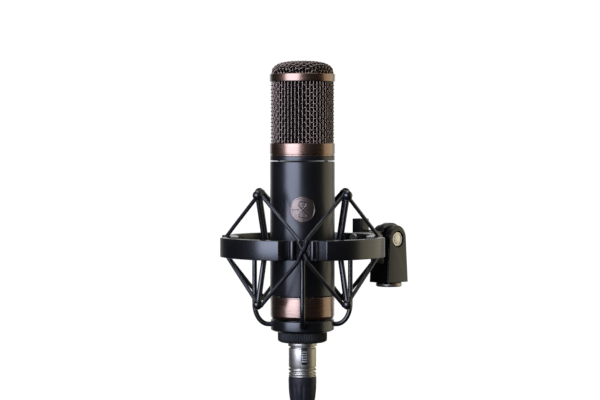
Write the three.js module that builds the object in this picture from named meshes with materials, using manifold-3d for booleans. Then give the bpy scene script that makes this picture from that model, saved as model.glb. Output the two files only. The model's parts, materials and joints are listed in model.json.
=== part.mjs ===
// A side-address ribbon microphone in a spider shock mount with a tilting stand swivel and its XLR lead.
// Millimetres, +Z up. The origin is the middle of the underside of the stand thread adapter.
// The address side of the microphone faces -Y. The arm runs from the shock mount to the swivel at 45
// degrees.
import * as THREE from 'three';
import { mergeVertices } from 'three/addons/utils/BufferGeometryUtils.js';
import Module from 'manifold-3d';

const GAP = 0.3;

// Placement
const ARM_REACH = 99;
const ARM_ANGLE = Math.PI / 4;
const PIVOT_Z = 37;
const AXLE_Z = 38.6;

// Head
const GRILLE = { radius: 24.5, wall: 1.2, bottom: 116.8, top: 163.2 };
const DOME = { radius: 24.1, height: 10.2, bottom: 170, wall: 1.1, fullness: 2.8 };
const TOP_BAND = { radius: 25.3, bore: 22.9, bottom: 163.5, top: 169.7, chamfer: 0.5 };
const BASE_BAND = { radius: 25.2, bore: 22.9, bottom: 106.4, top: 116.5, chamfer: 0.5 };
const SCREEN = { radius: 22.6, wall: 0.6, bottom: 109.2, top: 168.6 };
const HEAD_COLLAR = { radius: 25, bore: 20.6, bottom: 102.9, top: 106.1, chamfer: 0.4 };
const HEAD_PLATE = { radius: 22.5, bottom: 106.4, top: 108.5 };

// Ribbon motor
const MOTOR = { halfWidth: 18, bottom: 108.8, top: 162, depth: 9, windowHalf: 13.8, lip: 4.5 };
const MAGNET = { near: 8.2, far: 13.5 };
const POLE = { near: 2.9, far: 7.9, tipDepth: 4 };
const RIBBON = { halfWidth: 2.4, foil: 0.3, folds: 22, fold: 0.45 };
const CLAMP_HEIGHT = 3.7;

// Body
const BODY = { radius: 24.95, bore: 23.4, bottom: -0.7, top: 102.2, chamfer: 0.5 };
const BADGE = { radius: 10, z: 66, thickness: 0.8 };
const SLEEVE = { radius: 24.75, wall: 1.5, top: -1.3, bottom: -19, neck: 20 };
const BASE = { plateRadius: 22.8, plateTop: -9, plateBottom: -11.5, hub: 17.6, shoulder: -19.2 };
const SPIGOT = { radius: 13, bore: 8.6, bottom: -36.5 };
const INLET = { radius: 8.3, top: -14, bottom: -19 };
const PIN = { radius: 1.2, circle: 3.9, length: 13.7, angles: [0.25, 0.75, 1.5] };
const RAIL = { near: 17, far: 19.5, halfDepth: 5 };
const CORE = { z: 25, halfWidth: 16.7, halfHeight: 14, halfDepth: 8, leg: 4, window: 10, windowHeight: 9 };
const WINDING_THICKNESS = 4;

// Cradle
const CRADLE_COLLAR = { radius: 24.6, bore: 13.4, bottom: -28.6, top: -19.5, chamfer: 0.9 };
const NUT = { radius: 19.1, bore: 13.4, bottom: -37.2, top: -28.9, teeth: 32, tooth: 0.6 };
const ROD_RADIUS = 1.9;
const ARM_ROD = { start: 24.9, straight: 1.5, z: -23.5, reach: 37, rise: 16, top: 34.2 };
const HOOP = { inner: 35, outer: 43, bottom: 34.5, top: 39.5 };
const POST = { tip: 48, waist: 40, top: 77.1, bottom: -5.5, ball: 3.8 };

// Suspension
const RING = { inner: 59.5, outer: 65.5, bottom: 29.5, top: 44.5 };
// Each hook of the ring as [sideways, outward] points, from its shoulder to its middle.
// The elastics lie in the valley at its middle.
const HOOK = {
  shoulder: 18,
  lobe: [[10.4, 56.9], [9.8, 59.4], [8.8, 61], [7.4, 61.3], [6.1, 60.5], [5.4, 58.8], [5.4, 55.8]],
  backShoulder: 19.5,
  back: [[12, 51], [6, 49.6]],
};
// Half of an elastic's way over a post tip as [sideways, rise] points, and over a hook as
// [sideways, outward, rise, share of the lift] points, each ending at the middle.
const ELASTIC = {
  radius: 1.5,
  tipInset: 2.6,
  overTip: [[4.2, -2], [2.6, -0.1], [1.3, 0.9], [0, 1.2]],
  overHook: [[4.3, 56.9, 9.6, 0], [3.2, 58, 6.8, 0], [1.6, 58.1, 3.4, 0.6], [0, 58.1, 0, 1]],
  lift: 3.4,
};

// Swivel
const BLOCK = { near: 33.2, far: 19.5, halfWidth: 10 };
const TONGUE = { halfThickness: 3.5, radius: 13, halfHeight: 6.5, bore: 3.35 };
const SCREW = { z: 4.2, shank: 2, head: 3.1, clearance: 2.35, headLength: 2.6, reach: 12 };
const YOKE = { bottom: 3.5, footHalf: 12.5, topHalf: 10.1, topRise: 11.1, half: 10 };
const YOKE_SLOT = { half: 4.95, floor: 19 };
const BOLT = { radius: 3, bore: 3.35, head: 5.6, headFace: 9.3, headLength: 1.9, end: 20, recess: 6.8 };
const LEVER = { hub: 6.5, start: 10.5, barStart: 26, barEnd: 36.5 };
const LEVER_BAR = { halfLength: 15.4, halfWidth: 4.7, corner: 1.2 };
const WASHER = { radius: 9, bore: 3.4, start: 3.8, end: 4.65 };
const ADAPTER = { flange: 10.5, flangeTop: 3.2, sleeve: 7.6, sleeveTop: 13.5, bore: 4.9 };
const SOCKET = { radius: 7.95, top: 15 };

// Lead
const PLUG_NOSE = { radius: 8.1, top: -20.2 };
const PLUG = { radius: 10.6, neck: 11.1, top: -36.8, neckBottom: -41, bottom: -64.1, bore: 7.2 };
const PLUG_GROOVE = { depth: 0.6, top: -59, bottom: -61 };
const PLUG_INSERT = { radius: 6.9, top: -20.8, bottom: -40, socket: 1.6 };
const LATCH = { turn: 8.5, halfWidth: 2.1, bottom: -53, top: -41.8, inner: 8.3, outer: 11.3 };
const BOOT = { bottom: -100, tip: 4.2, swell: [[10.8, -68], [10.6, -75.5], [9.6, -83], [7.6, -91], [5.6, -96.5]] };
const CABLE_RADIUS = 3;
const COIL = { y: 5.2, z: -172, radius: 35, halfWidth: 12.3, halfThickness: 13.5, corner: 0.55 };
const LEAD_BEND = { radius: 30, start: 64.35, stop: 0.42 };
const TAIL = { x: 51.8, z: -2, bend: 30, leave: 0.28 };
const FAR_BOOT = { top: -7.2, length: 20, middle: 6.4, wide: 8.6 };
const FAR_PLUG = { radius: 9.6, length: 43, bore: 8, cup: 19, pinLength: 13, insert: 7.7 };
const TIE = { turn: 1.02, clearance: 0.9, wall: 1.3, width: 9 };

const wasm = await Module();
wasm.setup();

// ---------------------------------------------------------------- solids

function solidOf(geometry) {
  const bare = geometry.index ? geometry.toNonIndexed() : geometry.clone();
  bare.deleteAttribute('normal');
  bare.deleteAttribute('uv');
  const merged = mergeVertices(bare, 1e-4);
  return new wasm.Manifold(new wasm.Mesh({
    numProp: 3,
    vertProperties: merged.attributes.position.array,
    triVerts: new Uint32Array(merged.index.array),
  }));
}

function geometryOf(solid) {
  const mesh = solid.getMesh();
  const geometry = new THREE.BufferGeometry();
  geometry.setAttribute('position', new THREE.BufferAttribute(mesh.vertProperties, 3));
  geometry.setIndex(new THREE.BufferAttribute(mesh.triVerts, 1));
  geometry.computeVertexNormals();
  return geometry;
}

function cut(base, ...tools) {
  return geometryOf(tools.reduce((made, tool) => made.subtract(solidOf(tool)), solidOf(base)));
}

function join(base, ...more) {
  return geometryOf(more.reduce((made, piece) => made.add(solidOf(piece)), solidOf(base)));
}

// A closed [radius, z] outline turned about the Z axis.
function turned(outline, segments = 32) {
  const area = outline.reduce((sum, [r, z], i) => {
    const [nextR, nextZ] = outline[(i + 1) % outline.length];
    return sum + r * nextZ - nextR * z;
  }, 0);
  const ordered = area > 0 ? [...outline] : [...outline].reverse();
  const onAxis = ordered.findIndex(([r], i) => r === 0 && ordered.at(i - 1)[0] === 0);
  const started = onAxis < 0
    ? [...ordered, ordered[0]]
    : [...ordered.slice(onAxis), ...ordered.slice(0, onAxis)];
  const points = started.map(([r, z]) => new THREE.Vector2(r, z));
  return new THREE.LatheGeometry(points, segments).rotateX(Math.PI / 2);
}

// A ring of rectangular section whose two outer edges are chamfered.
function band({ radius, bore, bottom, top, chamfer }, segments = 36) {
  return turned([
    [bore, bottom],
    [radius - chamfer, bottom],
    [radius, bottom + chamfer],
    [radius, top - chamfer],
    [radius - chamfer, top],
    [bore, top],
  ], segments);
}

function rod(radius, bottom, top, segments = 12) {
  const height = top - bottom;
  return new THREE.CylinderGeometry(radius, radius, height, segments)
    .rotateX(Math.PI / 2)
    .translate(0, 0, bottom + height / 2);
}

function rodAlongX(radius, start, end, segments = 12) {
  return rod(radius, start, end, segments).rotateY(Math.PI / 2);
}

function rodAlongY(radius, start, end, segments = 12) {
  return rod(radius, -end, -start, segments).rotateX(Math.PI / 2);
}

function box(low, high) {
  const size = high.map((value, i) => value - low[i]);
  return new THREE.BoxGeometry(...size)
    .translate(low[0] + size[0] / 2, low[1] + size[1] / 2, low[2] + size[2] / 2);
}

function shapeOf(points, holes = []) {
  const shape = new THREE.Shape(points.map(([x, y]) => new THREE.Vector2(x, y)));
  shape.holes = holes.map((hole) => new THREE.Path(hole.map(([x, y]) => new THREE.Vector2(x, y))));
  return shape;
}

function prism(points, bottom, top, holes = []) {
  return new THREE.ExtrudeGeometry(shapeOf(points, holes), { depth: top - bottom, bevelEnabled: false })
    .translate(0, 0, bottom);
}

// A prism whose outline lies in the XZ plane.
function prismAlongY(points, front, back) {
  return new THREE.ExtrudeGeometry(shapeOf(points), { depth: back - front, bevelEnabled: false })
    .rotateX(Math.PI / 2)
    .translate(0, back, 0);
}

function arcPoints(cx, cy, radius, from, to, count) {
  return Array.from({ length: count + 1 }, (_, i) => {
    const angle = from + ((to - from) * i) / count;
    return [cx + radius * Math.cos(angle), cy + radius * Math.sin(angle)];
  });
}

// A route through points that are used exactly as given.
class Route extends THREE.Curve {
  constructor(points) {
    super();
    this.points = points;
  }

  getPoint(t) {
    const place = Math.min(t * (this.points.length - 1), this.points.length - 1);
    const index = Math.min(Math.floor(place), this.points.length - 2);
    return this.points[index].clone().lerp(this.points[index + 1], place - index);
  }

  getPointAt(u) {
    return this.getPoint(u);
  }

  getSpacedPoints() {
    return this.points.map((point) => point.clone());
  }

  getTangentAt(u) {
    const index = Math.round(u * (this.points.length - 1));
    const before = this.points[Math.max(index - 1, 0)];
    const after = this.points[Math.min(index + 1, this.points.length - 1)];
    return after.clone().sub(before).normalize();
  }
}

function tube(points, radius, sides = 8) {
  const section = shapeOf(arcPoints(0, 0, radius, 0, 2 * Math.PI * (1 - 1 / sides), sides - 1));
  const route = new Route(points.map((point) => new THREE.Vector3(...point)));
  return new THREE.ExtrudeGeometry(section, {
    steps: points.length - 1,
    extrudePath: route,
    bevelEnabled: false,
  });
}

// ---------------------------------------------------------------- materials

function material(color, roughness, metalness) {
  return new THREE.MeshStandardMaterial({ color, roughness, metalness });
}

const satinBlack = material(0x232428, 0.45, 0.4);
const copper = material(0x8a6450, 0.32, 1);
const bronzeMesh = material(0x5b4a42, 0.4, 0.9);
const silver = material(0xcfd0d0, 0.22, 1);
const darkMesh = material(0x141414, 0.8, 0.2);
const steel = material(0x8f9296, 0.35, 1);
const magnetGrey = material(0x55585c, 0.5, 0.8);
const foil = material(0xd8dade, 0.3, 1);
const brass = material(0xb08d4f, 0.35, 1);
const insulator = material(0x1b1b1b, 0.6, 0);
const enamel = material(0x8c4a24, 0.5, 0.3);
const cloth = material(0x1d1d20, 0.85, 0);
const rubber = material(0x161616, 0.75, 0);

function piece(name, geometry, surface) {
  const mesh = new THREE.Mesh(geometry, surface);
  mesh.name = name;
  return mesh;
}

// ---------------------------------------------------------------- microphone head

function domeOutline() {
  const steps = 6;
  const curve = (radius, height) => Array.from({ length: steps + 1 }, (_, i) => {
    const angle = (Math.PI / 2) * (i / steps);
    const power = 2 / DOME.fullness;
    return [radius * Math.cos(angle) ** power, DOME.bottom + height * Math.sin(angle) ** power];
  });
  const outer = curve(DOME.radius, DOME.height);
  const inner = curve(DOME.radius - DOME.wall, DOME.height - DOME.wall).reverse();
  outer[steps][0] = 0;
  inner[0][0] = 0;
  return [...outer, ...inner];
}

function head() {
  const grille = [
    [GRILLE.radius - GRILLE.wall, GRILLE.bottom],
    [GRILLE.radius, GRILLE.bottom],
    [GRILLE.radius, GRILLE.top],
    [GRILLE.radius - GRILLE.wall, GRILLE.top],
  ];
  const screen = [
    [0, SCREEN.top],
    [SCREEN.radius, SCREEN.top],
    [SCREEN.radius, SCREEN.bottom],
    [SCREEN.radius - SCREEN.wall, SCREEN.bottom],
    [SCREEN.radius - SCREEN.wall, SCREEN.top - SCREEN.wall],
    [0, SCREEN.top - SCREEN.wall],
  ];
  return [
    piece('grille_dome', turned(domeOutline()), bronzeMesh),
    piece('grille_top_band', band(TOP_BAND), copper),
    piece('grille_cylinder', turned(grille, 36), bronzeMesh),
    piece('inner_screen', turned(screen), darkMesh),
    piece('grille_base_band', band(BASE_BAND), copper),
    piece('head_collar', band(HEAD_COLLAR), satinBlack),
    piece('head_plate', rod(HEAD_PLATE.radius, HEAD_PLATE.bottom, HEAD_PLATE.top, 32), steel),
  ];
}

// ---------------------------------------------------------------- ribbon motor

function foldedStrip(bottom, top) {
  const side = (offset) => Array.from({ length: RIBBON.folds + 1 }, (_, i) => [
    bottom + ((top - bottom) * i) / RIBBON.folds,
    offset + (i % 2 === 0 ? RIBBON.fold : -RIBBON.fold),
  ]);
  const outline = [...side(0), ...side(RIBBON.foil).reverse()];
  return prism(outline, -RIBBON.halfWidth, RIBBON.halfWidth).rotateY(-Math.PI / 2);
}

function motor() {
  const half = MOTOR.depth / 2;
  const low = MOTOR.bottom + MOTOR.lip;
  const high = MOTOR.top - MOTOR.lip;
  const frame = cut(
    box([-MOTOR.halfWidth, -half, MOTOR.bottom], [MOTOR.halfWidth, half, MOTOR.top]),
    box([-MOTOR.windowHalf, -MOTOR.depth, low], [MOTOR.windowHalf, MOTOR.depth, high]),
  );
  const magnet = (side) => box(
    [Math.min(side * MAGNET.near, side * MAGNET.far), -half, low + GAP],
    [Math.max(side * MAGNET.near, side * MAGNET.far), half, high - GAP],
  );
  const pole = (side) => prism([
    [side * POLE.far, -half],
    [side * POLE.far, half],
    [side * POLE.near, POLE.tipDepth / 2],
    [side * POLE.near, -POLE.tipDepth / 2],
  ], low + GAP, high - GAP);
  const clamp = (bottom) => box(
    [-POLE.near + GAP, -half, bottom],
    [POLE.near - GAP, half, bottom + CLAMP_HEIGHT],
  );
  const ribbonLow = low + 2 * GAP + CLAMP_HEIGHT;
  const ribbonHigh = high - 2 * GAP - CLAMP_HEIGHT;
  return [
    piece('motor_frame', frame, steel),
    piece('magnet_left', magnet(-1), magnetGrey),
    piece('magnet_right', magnet(1), magnetGrey),
    piece('pole_piece_left', pole(-1), steel),
    piece('pole_piece_right', pole(1), steel),
    piece('ribbon', foldedStrip(ribbonLow, ribbonHigh), foil),
    piece('ribbon_clamp_bottom', clamp(low + GAP), brass),
    piece('ribbon_clamp_top', clamp(high - GAP - CLAMP_HEIGHT), brass),
  ];
}

// ---------------------------------------------------------------- microphone body

function badge() {
  const inner = BODY.radius + GAP;
  const shell = turned([
    [inner, BADGE.z - 2 * BADGE.radius],
    [inner + BADGE.thickness, BADGE.z - 2 * BADGE.radius],
    [inner + BADGE.thickness, BADGE.z + 2 * BADGE.radius],
    [inner, BADGE.z + 2 * BADGE.radius],
  ], 72);
  const disc = rodAlongY(BADGE.radius, -2 * BODY.radius, -BODY.radius / 2, 28).translate(0, 0, BADGE.z);
  return geometryOf(solidOf(shell).intersect(solidOf(disc)));
}

function sleeve() {
  const corner = SLEEVE.radius - SLEEVE.neck;
  const arc = arcPoints(SLEEVE.neck, SLEEVE.bottom + corner, corner, 0, -Math.PI / 2, 4);
  const inner = SLEEVE.radius - SLEEVE.wall;
  return turned([
    [inner, SLEEVE.top],
    [SLEEVE.radius - 0.3, SLEEVE.top],
    [SLEEVE.radius, SLEEVE.top - 0.4],
    ...arc,
    [BASE.hub + GAP, SLEEVE.bottom],
    [BASE.hub + GAP, SLEEVE.bottom + SLEEVE.wall],
    [inner - 1.6, SLEEVE.bottom + 2.6],
    [inner, SLEEVE.bottom + 5.4],
  ], 36);
}

function basePlate() {
  return turned([
    [SPIGOT.bore, BASE.plateTop],
    [BASE.plateRadius, BASE.plateTop],
    [BASE.plateRadius, BASE.plateBottom],
    [BASE.hub, BASE.plateBottom],
    [BASE.hub, BASE.shoulder],
    [SPIGOT.radius, BASE.shoulder],
    [SPIGOT.radius, SPIGOT.bottom],
    [SPIGOT.bore, SPIGOT.bottom],
  ], 28);
}

function transformer() {
  const { z, halfWidth, halfHeight, halfDepth, leg, window, windowHeight } = CORE;
  const opening = (side) => box(
    [Math.min(side * leg, side * window), -2 * halfDepth, z - windowHeight],
    [Math.max(side * leg, side * window), 2 * halfDepth, z + windowHeight],
  );
  const core = cut(
    box([-halfWidth, -halfDepth, z - halfHeight], [halfWidth, halfDepth, z + halfHeight]),
    opening(-1),
    opening(1),
  );
  const outside = [window - GAP, halfDepth + WINDING_THICKNESS, windowHeight - GAP];
  const inside = [leg + GAP, halfDepth + GAP, halfHeight];
  const aboutCore = (half) => box([-half[0], -half[1], z - half[2]], [half[0], half[1], z + half[2]]);
  const winding = cut(aboutCore(outside), aboutCore(inside));
  return [piece('transformer_core', core, steel), piece('transformer_winding', winding, enamel)];
}

function inletPins() {
  return PIN.angles.map((turn, i) => {
    const pin = piece(`xlr_pin_${i + 1}`, rod(PIN.radius, -PIN.length, 0, 8), silver);
    const angle = turn * Math.PI;
    pin.position.set(PIN.circle * Math.cos(angle), PIN.circle * Math.sin(angle), INLET.bottom - GAP);
    return pin;
  });
}

function body() {
  const rail = (side) => box(
    [Math.min(side * RAIL.near, side * RAIL.far), -RAIL.halfDepth, BASE.plateTop + GAP],
    [Math.max(side * RAIL.near, side * RAIL.far), RAIL.halfDepth, HEAD_PLATE.bottom - GAP],
  );
  return [
    piece('body_tube', band(BODY), satinBlack),
    piece('badge', badge(), copper),
    piece('base_sleeve', sleeve(), copper),
    piece('base_plate', basePlate(), satinBlack),
    piece('xlr_inlet_insert', rod(INLET.radius, INLET.bottom, INLET.top, 20), insulator),
    piece('chassis_rail_left', rail(-1), steel),
    piece('chassis_rail_right', rail(1), steel),
    ...transformer(),
    ...inletPins(),
  ];
}

// ---------------------------------------------------------------- cradle

const SIDES = ['right', 'back', 'left', 'front'];
const CORNERS = ['back_right', 'back_left', 'front_left', 'front_right'];

function clampNut() {
  const count = NUT.teeth * 2;
  const outline = Array.from({ length: count }, (_, i) => {
    const radius = i % 2 === 0 ? NUT.radius : NUT.radius - NUT.tooth;
    const angle = (2 * Math.PI * i) / count;
    return [radius * Math.cos(angle), radius * Math.sin(angle)];
  });
  const bore = arcPoints(0, 0, NUT.bore, 0, 2 * Math.PI * (27 / 28), 27);
  return prism(outline, NUT.bottom, NUT.top, [bore]);
}

function armRoute() {
  const bendStart = ARM_ROD.start + ARM_ROD.straight;
  const bend = ARM_ROD.reach - bendStart;
  const curve = Array.from({ length: 7 }, (_, i) => {
    const angle = (Math.PI / 2) * (i / 6);
    return [
      bendStart + bend * Math.sin(angle),
      0,
      ARM_ROD.z + ARM_ROD.rise * (1 - Math.cos(angle)),
    ];
  });
  return [[ARM_ROD.start, 0, ARM_ROD.z], ...curve, [ARM_ROD.reach, 0, ARM_ROD.top]];
}

function post() {
  const line = [[POST.tip, 0, POST.top], [POST.waist, 0, PIVOT_Z], [POST.tip, 0, POST.bottom]];
  const ball = (z) => new THREE.SphereGeometry(POST.ball, 10, 7).translate(POST.tip, 0, z);
  const groove = (up) => tube(overTip(0, up), ELASTIC.radius + 1.2 * GAP).rotateZ(-ARM_ANGLE);
  const joined = join(tube(line, ROD_RADIUS), ball(POST.top), ball(POST.bottom));
  return cut(joined, groove(true), groove(false));
}

function hoop() {
  const ring = turned([
    [HOOP.inner, HOOP.bottom],
    [HOOP.outer, HOOP.bottom],
    [HOOP.outer, HOOP.top],
    [HOOP.inner, HOOP.top],
  ], 40);
  const holes = CORNERS.map((_, i) => rod(ROD_RADIUS + 2 * GAP, HOOP.bottom - 1, HOOP.top + 1, 10)
    .translate(POST.waist, 0, 0)
    .rotateZ(ARM_ANGLE + (i * Math.PI) / 2));
  return cut(ring, ...holes);
}

function cradle() {
  const arms = SIDES.map((side, i) => piece(
    `cradle_arm_${side}`,
    tube(armRoute(), ROD_RADIUS).rotateZ((i * Math.PI) / 2),
    satinBlack,
  ));
  const posts = CORNERS.map((corner, i) => piece(
    `cradle_post_${corner}`,
    post().rotateZ(ARM_ANGLE + (i * Math.PI) / 2),
    satinBlack,
  ));
  return [
    piece('cradle_collar', band(CRADLE_COLLAR, 32), satinBlack),
    piece('clamp_nut', clampNut(), satinBlack),
    piece('cradle_hoop', hoop(), satinBlack),
    ...arms,
    ...posts,
  ];
}

// ---------------------------------------------------------------- suspension

// One side of the ring at a hook, from where it leaves the ring's circle to the hook's middle.
function hookSide(shoulder, radius, rest) {
  return [[shoulder, Math.sqrt(radius ** 2 - shoulder ** 2)], ...rest];
}

function turnedPoint([sideways, outward], turn) {
  return [
    outward * Math.cos(turn) - sideways * Math.sin(turn),
    outward * Math.sin(turn) + sideways * Math.cos(turn),
  ];
}

function mirrored(points) {
  return points.map(([sideways, outward]) => [-sideways, outward]);
}

// The outline of the ring with the same side view repeated at each of the four hooks.
function hookedOutline(side, radius) {
  const half = Math.atan2(side[0][0], side[0][1]);
  return SIDES.flatMap((_, i) => {
    const turn = (i * Math.PI) / 2;
    const hook = [...mirrored(side), ...side.toReversed()].map((point) => turnedPoint(point, turn));
    const arc = arcPoints(0, 0, radius, turn + half, turn + Math.PI / 2 - half, 9).slice(1, -1);
    return [...hook, ...arc];
  });
}

function outerRing() {
  const outer = hookSide(HOOK.shoulder, RING.outer, HOOK.lobe);
  const inner = hookSide(HOOK.backShoulder, RING.inner, HOOK.back);
  const ring = prism(
    hookedOutline(outer, RING.outer),
    RING.bottom,
    RING.top,
    [hookedOutline(inner, RING.inner)],
  );
  const hole = (z) => rodAlongX(SCREW.clearance, RING.inner - 3, RING.outer + 3, 10)
    .translate(0, 0, z)
    .rotateZ(ARM_ANGLE);
  return cut(ring, hole(PIVOT_Z - SCREW.z), hole(PIVOT_Z + SCREW.z));
}

// Half a path and its mirror image, which share the middle point. The path starts on the left.
function bothWays(half, mirror) {
  return [...half.map(mirror), ...half.slice(0, -1).reverse()];
}

// The elastic lies in a groove in each post tip and over the outside of each hook.
function overTip(corner, up) {
  const turn = ARM_ANGLE + (corner * Math.PI) / 2;
  const z = up ? POST.top : POST.bottom;
  const sign = up ? 1 : -1;
  const path = bothWays(ELASTIC.overTip, ([sideways, rise]) => [-sideways, rise]);
  return path.map(([sideways, rise]) => [
    ...turnedPoint([sideways, POST.tip - ELASTIC.tipInset], turn),
    z + sign * rise,
  ]);
}

function overHook(side, lift, down) {
  const turn = (side * Math.PI) / 2;
  const sign = down ? 1 : -1;
  const mirror = ([sideways, outward, rise, share]) => [-sideways, outward, -rise, share];
  const path = bothWays(ELASTIC.overHook, mirror);
  return path.map(([sideways, outward, rise, share]) => [
    ...turnedPoint([sideways, outward + share * lift], turn),
    PIVOT_Z - sign * rise,
  ]);
}

// Corner i lies between side i and side i + 1. A loop runs anticlockwise seen from above.
function elasticLoop(first) {
  const points = [0, 1, 2, 3].flatMap((i) => {
    const up = (i + first) % 2 === 0;
    return [...overTip(i, up), ...overHook((i + 1) % 4, first * ELASTIC.lift, up)];
  });
  const start = new THREE.Vector3(...points[0]);
  const end = new THREE.Vector3(...points.at(-1));
  const share = 1 - GAP / start.distanceTo(end);
  points.push(end.lerp(start, share).toArray());
  return tube(points, ELASTIC.radius, 6);
}

function suspension() {
  return [
    piece('outer_ring', outerRing(), satinBlack),
    piece('elastic_loop_1', elasticLoop(0), cloth),
    piece('elastic_loop_2', elasticLoop(1), cloth),
  ];
}

// ---------------------------------------------------------------- swivel
// Here +X points along the arm, away from the microphone, and the pivot bolt lies along Y.

// Half the length of a drill that passes right through any part of the swivel.
const DRILL = 20;

function mountArm() {
  const block = box(
    [-BLOCK.near, -BLOCK.halfWidth, RING.bottom],
    [-BLOCK.far, BLOCK.halfWidth, RING.top],
  );
  const spread = Math.PI - Math.asin(TONGUE.halfHeight / TONGUE.radius);
  const face = [
    [-BLOCK.far - 1, AXLE_Z - TONGUE.halfHeight],
    ...arcPoints(0, AXLE_Z, TONGUE.radius, -spread, spread, 16),
    [-BLOCK.far - 1, AXLE_Z + TONGUE.halfHeight],
  ];
  const tongue = prismAlongY(face, -TONGUE.halfThickness, TONGUE.halfThickness);
  const bore = rodAlongY(TONGUE.bore, -DRILL, DRILL, 16).translate(0, 0, AXLE_Z);
  const seat = new THREE.CylinderGeometry(RING.outer + GAP, RING.outer + GAP, 2 * DRILL, 64)
    .rotateX(Math.PI / 2)
    .translate(-ARM_REACH, 0, PIVOT_Z);
  const thread = (z) => rodAlongX(SCREW.clearance, -BLOCK.near - 5, -BLOCK.near + SCREW.reach - 3, 10)
    .translate(0, 0, z);
  return cut(join(block, tongue), bore, seat, thread(PIVOT_Z - SCREW.z), thread(PIVOT_Z + SCREW.z));
}

function armScrew() {
  const face = RING.inner - ARM_REACH - 0.6;
  return join(
    rodAlongX(SCREW.head, face - SCREW.headLength, face, 10),
    rodAlongX(SCREW.shank, face - 1, -BLOCK.near + SCREW.reach - 4, 10),
  );
}

function yoke() {
  const top = arcPoints(0, 0, 1, 0, Math.PI, 14)
    .map(([x, z]) => [x * YOKE.topHalf, AXLE_Z + z * YOKE.topRise]);
  const side = [[-YOKE.footHalf, YOKE.bottom], [YOKE.footHalf, YOKE.bottom], ...top];
  const ears = prismAlongY(side, -YOKE.half, YOKE.half);
  const slot = box([-DRILL, -YOKE_SLOT.half, YOKE_SLOT.floor], [DRILL, YOKE_SLOT.half, AXLE_Z + DRILL]);
  const bore = rodAlongY(BOLT.bore, -DRILL, DRILL, 16).translate(0, 0, AXLE_Z);
  const recessFloor = -BOLT.headFace + BOLT.headLength + GAP;
  const recess = rodAlongY(BOLT.recess, -DRILL, recessFloor, 24).translate(0, 0, AXLE_Z);
  const socket = rod(SOCKET.radius, YOKE.bottom - 1, SOCKET.top, 24);
  return cut(ears, slot, bore, recess, socket);
}

function pivotBolt() {
  return join(
    rodAlongY(BOLT.head, -BOLT.headFace, -BOLT.headFace + BOLT.headLength, 24),
    rodAlongY(BOLT.radius, -BOLT.headFace + 1, BOLT.end, 12),
  );
}

function lockLever() {
  const hub = rodAlongY(LEVER.hub, LEVER.start, LEVER.barStart + 1, 20);
  const { halfWidth, halfLength, corner } = LEVER_BAR;
  const right = [
    [halfWidth - corner, -halfLength],
    [halfWidth, corner - halfLength],
    [halfWidth, halfLength - corner],
    [halfWidth - corner, halfLength],
  ];
  const left = right.map(([x, z]) => [-x, -z]);
  const bar = prismAlongY([...right, ...left], LEVER.barStart, LEVER.barEnd);
  const hole = rodAlongY(BOLT.bore, LEVER.start - 1, BOLT.end + 1, 14);
  return cut(join(hub, bar), hole);
}

function washer() {
  return turned([
    [WASHER.bore, WASHER.start],
    [WASHER.radius, WASHER.start],
    [WASHER.radius, WASHER.end],
    [WASHER.bore, WASHER.end],
  ], 20).rotateX(-Math.PI / 2);
}

function threadAdapter() {
  return turned([
    [ADAPTER.bore, 0],
    [ADAPTER.flange, 0],
    [ADAPTER.flange, ADAPTER.flangeTop],
    [ADAPTER.sleeve, ADAPTER.flangeTop],
    [ADAPTER.sleeve, ADAPTER.sleeveTop],
    [ADAPTER.bore, ADAPTER.sleeveTop],
  ], 28);
}

function swivel() {
  const group = new THREE.Group();
  group.rotation.z = ARM_ANGLE;
  const atAxle = (mesh) => {
    mesh.position.z = AXLE_Z;
    return mesh;
  };
  const screwAt = (name, z) => {
    const screw = piece(name, armScrew(), steel);
    screw.position.z = z;
    return screw;
  };
  group.add(
    piece('mount_arm', mountArm(), satinBlack),
    screwAt('arm_screw_lower', PIVOT_Z - SCREW.z),
    screwAt('arm_screw_upper', PIVOT_Z + SCREW.z),
    piece('yoke', yoke(), satinBlack),
    atAxle(piece('pivot_bolt', pivotBolt(), silver)),
    atAxle(piece('lock_lever', lockLever(), satinBlack)),
    atAxle(piece('friction_washer', washer(), rubber)),
    piece('thread_adapter', threadAdapter(), silver),
  );
  return group;
}

// ---------------------------------------------------------------- lead

function plugShell() {
  const floor = PLUG.radius - PLUG_GROOVE.depth;
  const outline = [
    [PLUG.bore, PLUG_NOSE.top],
    [PLUG_NOSE.radius, PLUG_NOSE.top],
    [PLUG_NOSE.radius, PLUG.top],
    [PLUG.neck, PLUG.top],
    [PLUG.neck, PLUG.neckBottom],
    [floor, PLUG.neckBottom - 0.3],
    [PLUG.radius, PLUG.neckBottom - 1],
    [PLUG.radius, PLUG_GROOVE.top],
    [floor, PLUG_GROOVE.top - 0.5],
    [floor, PLUG_GROOVE.bottom + 0.5],
    [PLUG.radius, PLUG_GROOVE.bottom],
    [PLUG.radius, PLUG.bottom],
    [PLUG.bore, PLUG.bottom],
  ];
  const half = LATCH.halfWidth + GAP;
  const window = box([-half, -2 * PLUG.radius, LATCH.bottom - GAP], [half, 0, LATCH.top + GAP])
    .rotateZ(THREE.MathUtils.degToRad(LATCH.turn));
  return cut(turned(outline, 28), window);
}

function plugInsert() {
  const { radius, top, bottom, socket } = PLUG_INSERT;
  const holes = PIN.angles.map((turn) => rod(socket, bottom - 1, top + 1, 8)
    .translate(PIN.circle * Math.cos(turn * Math.PI), PIN.circle * Math.sin(turn * Math.PI), 0));
  return cut(rod(radius, bottom, top, 20), ...holes);
}

function latchButton() {
  return box(
    [-LATCH.halfWidth, -LATCH.outer, LATCH.bottom],
    [LATCH.halfWidth, -LATCH.inner, LATCH.top],
  ).rotateZ(THREE.MathUtils.degToRad(LATCH.turn));
}

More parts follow.
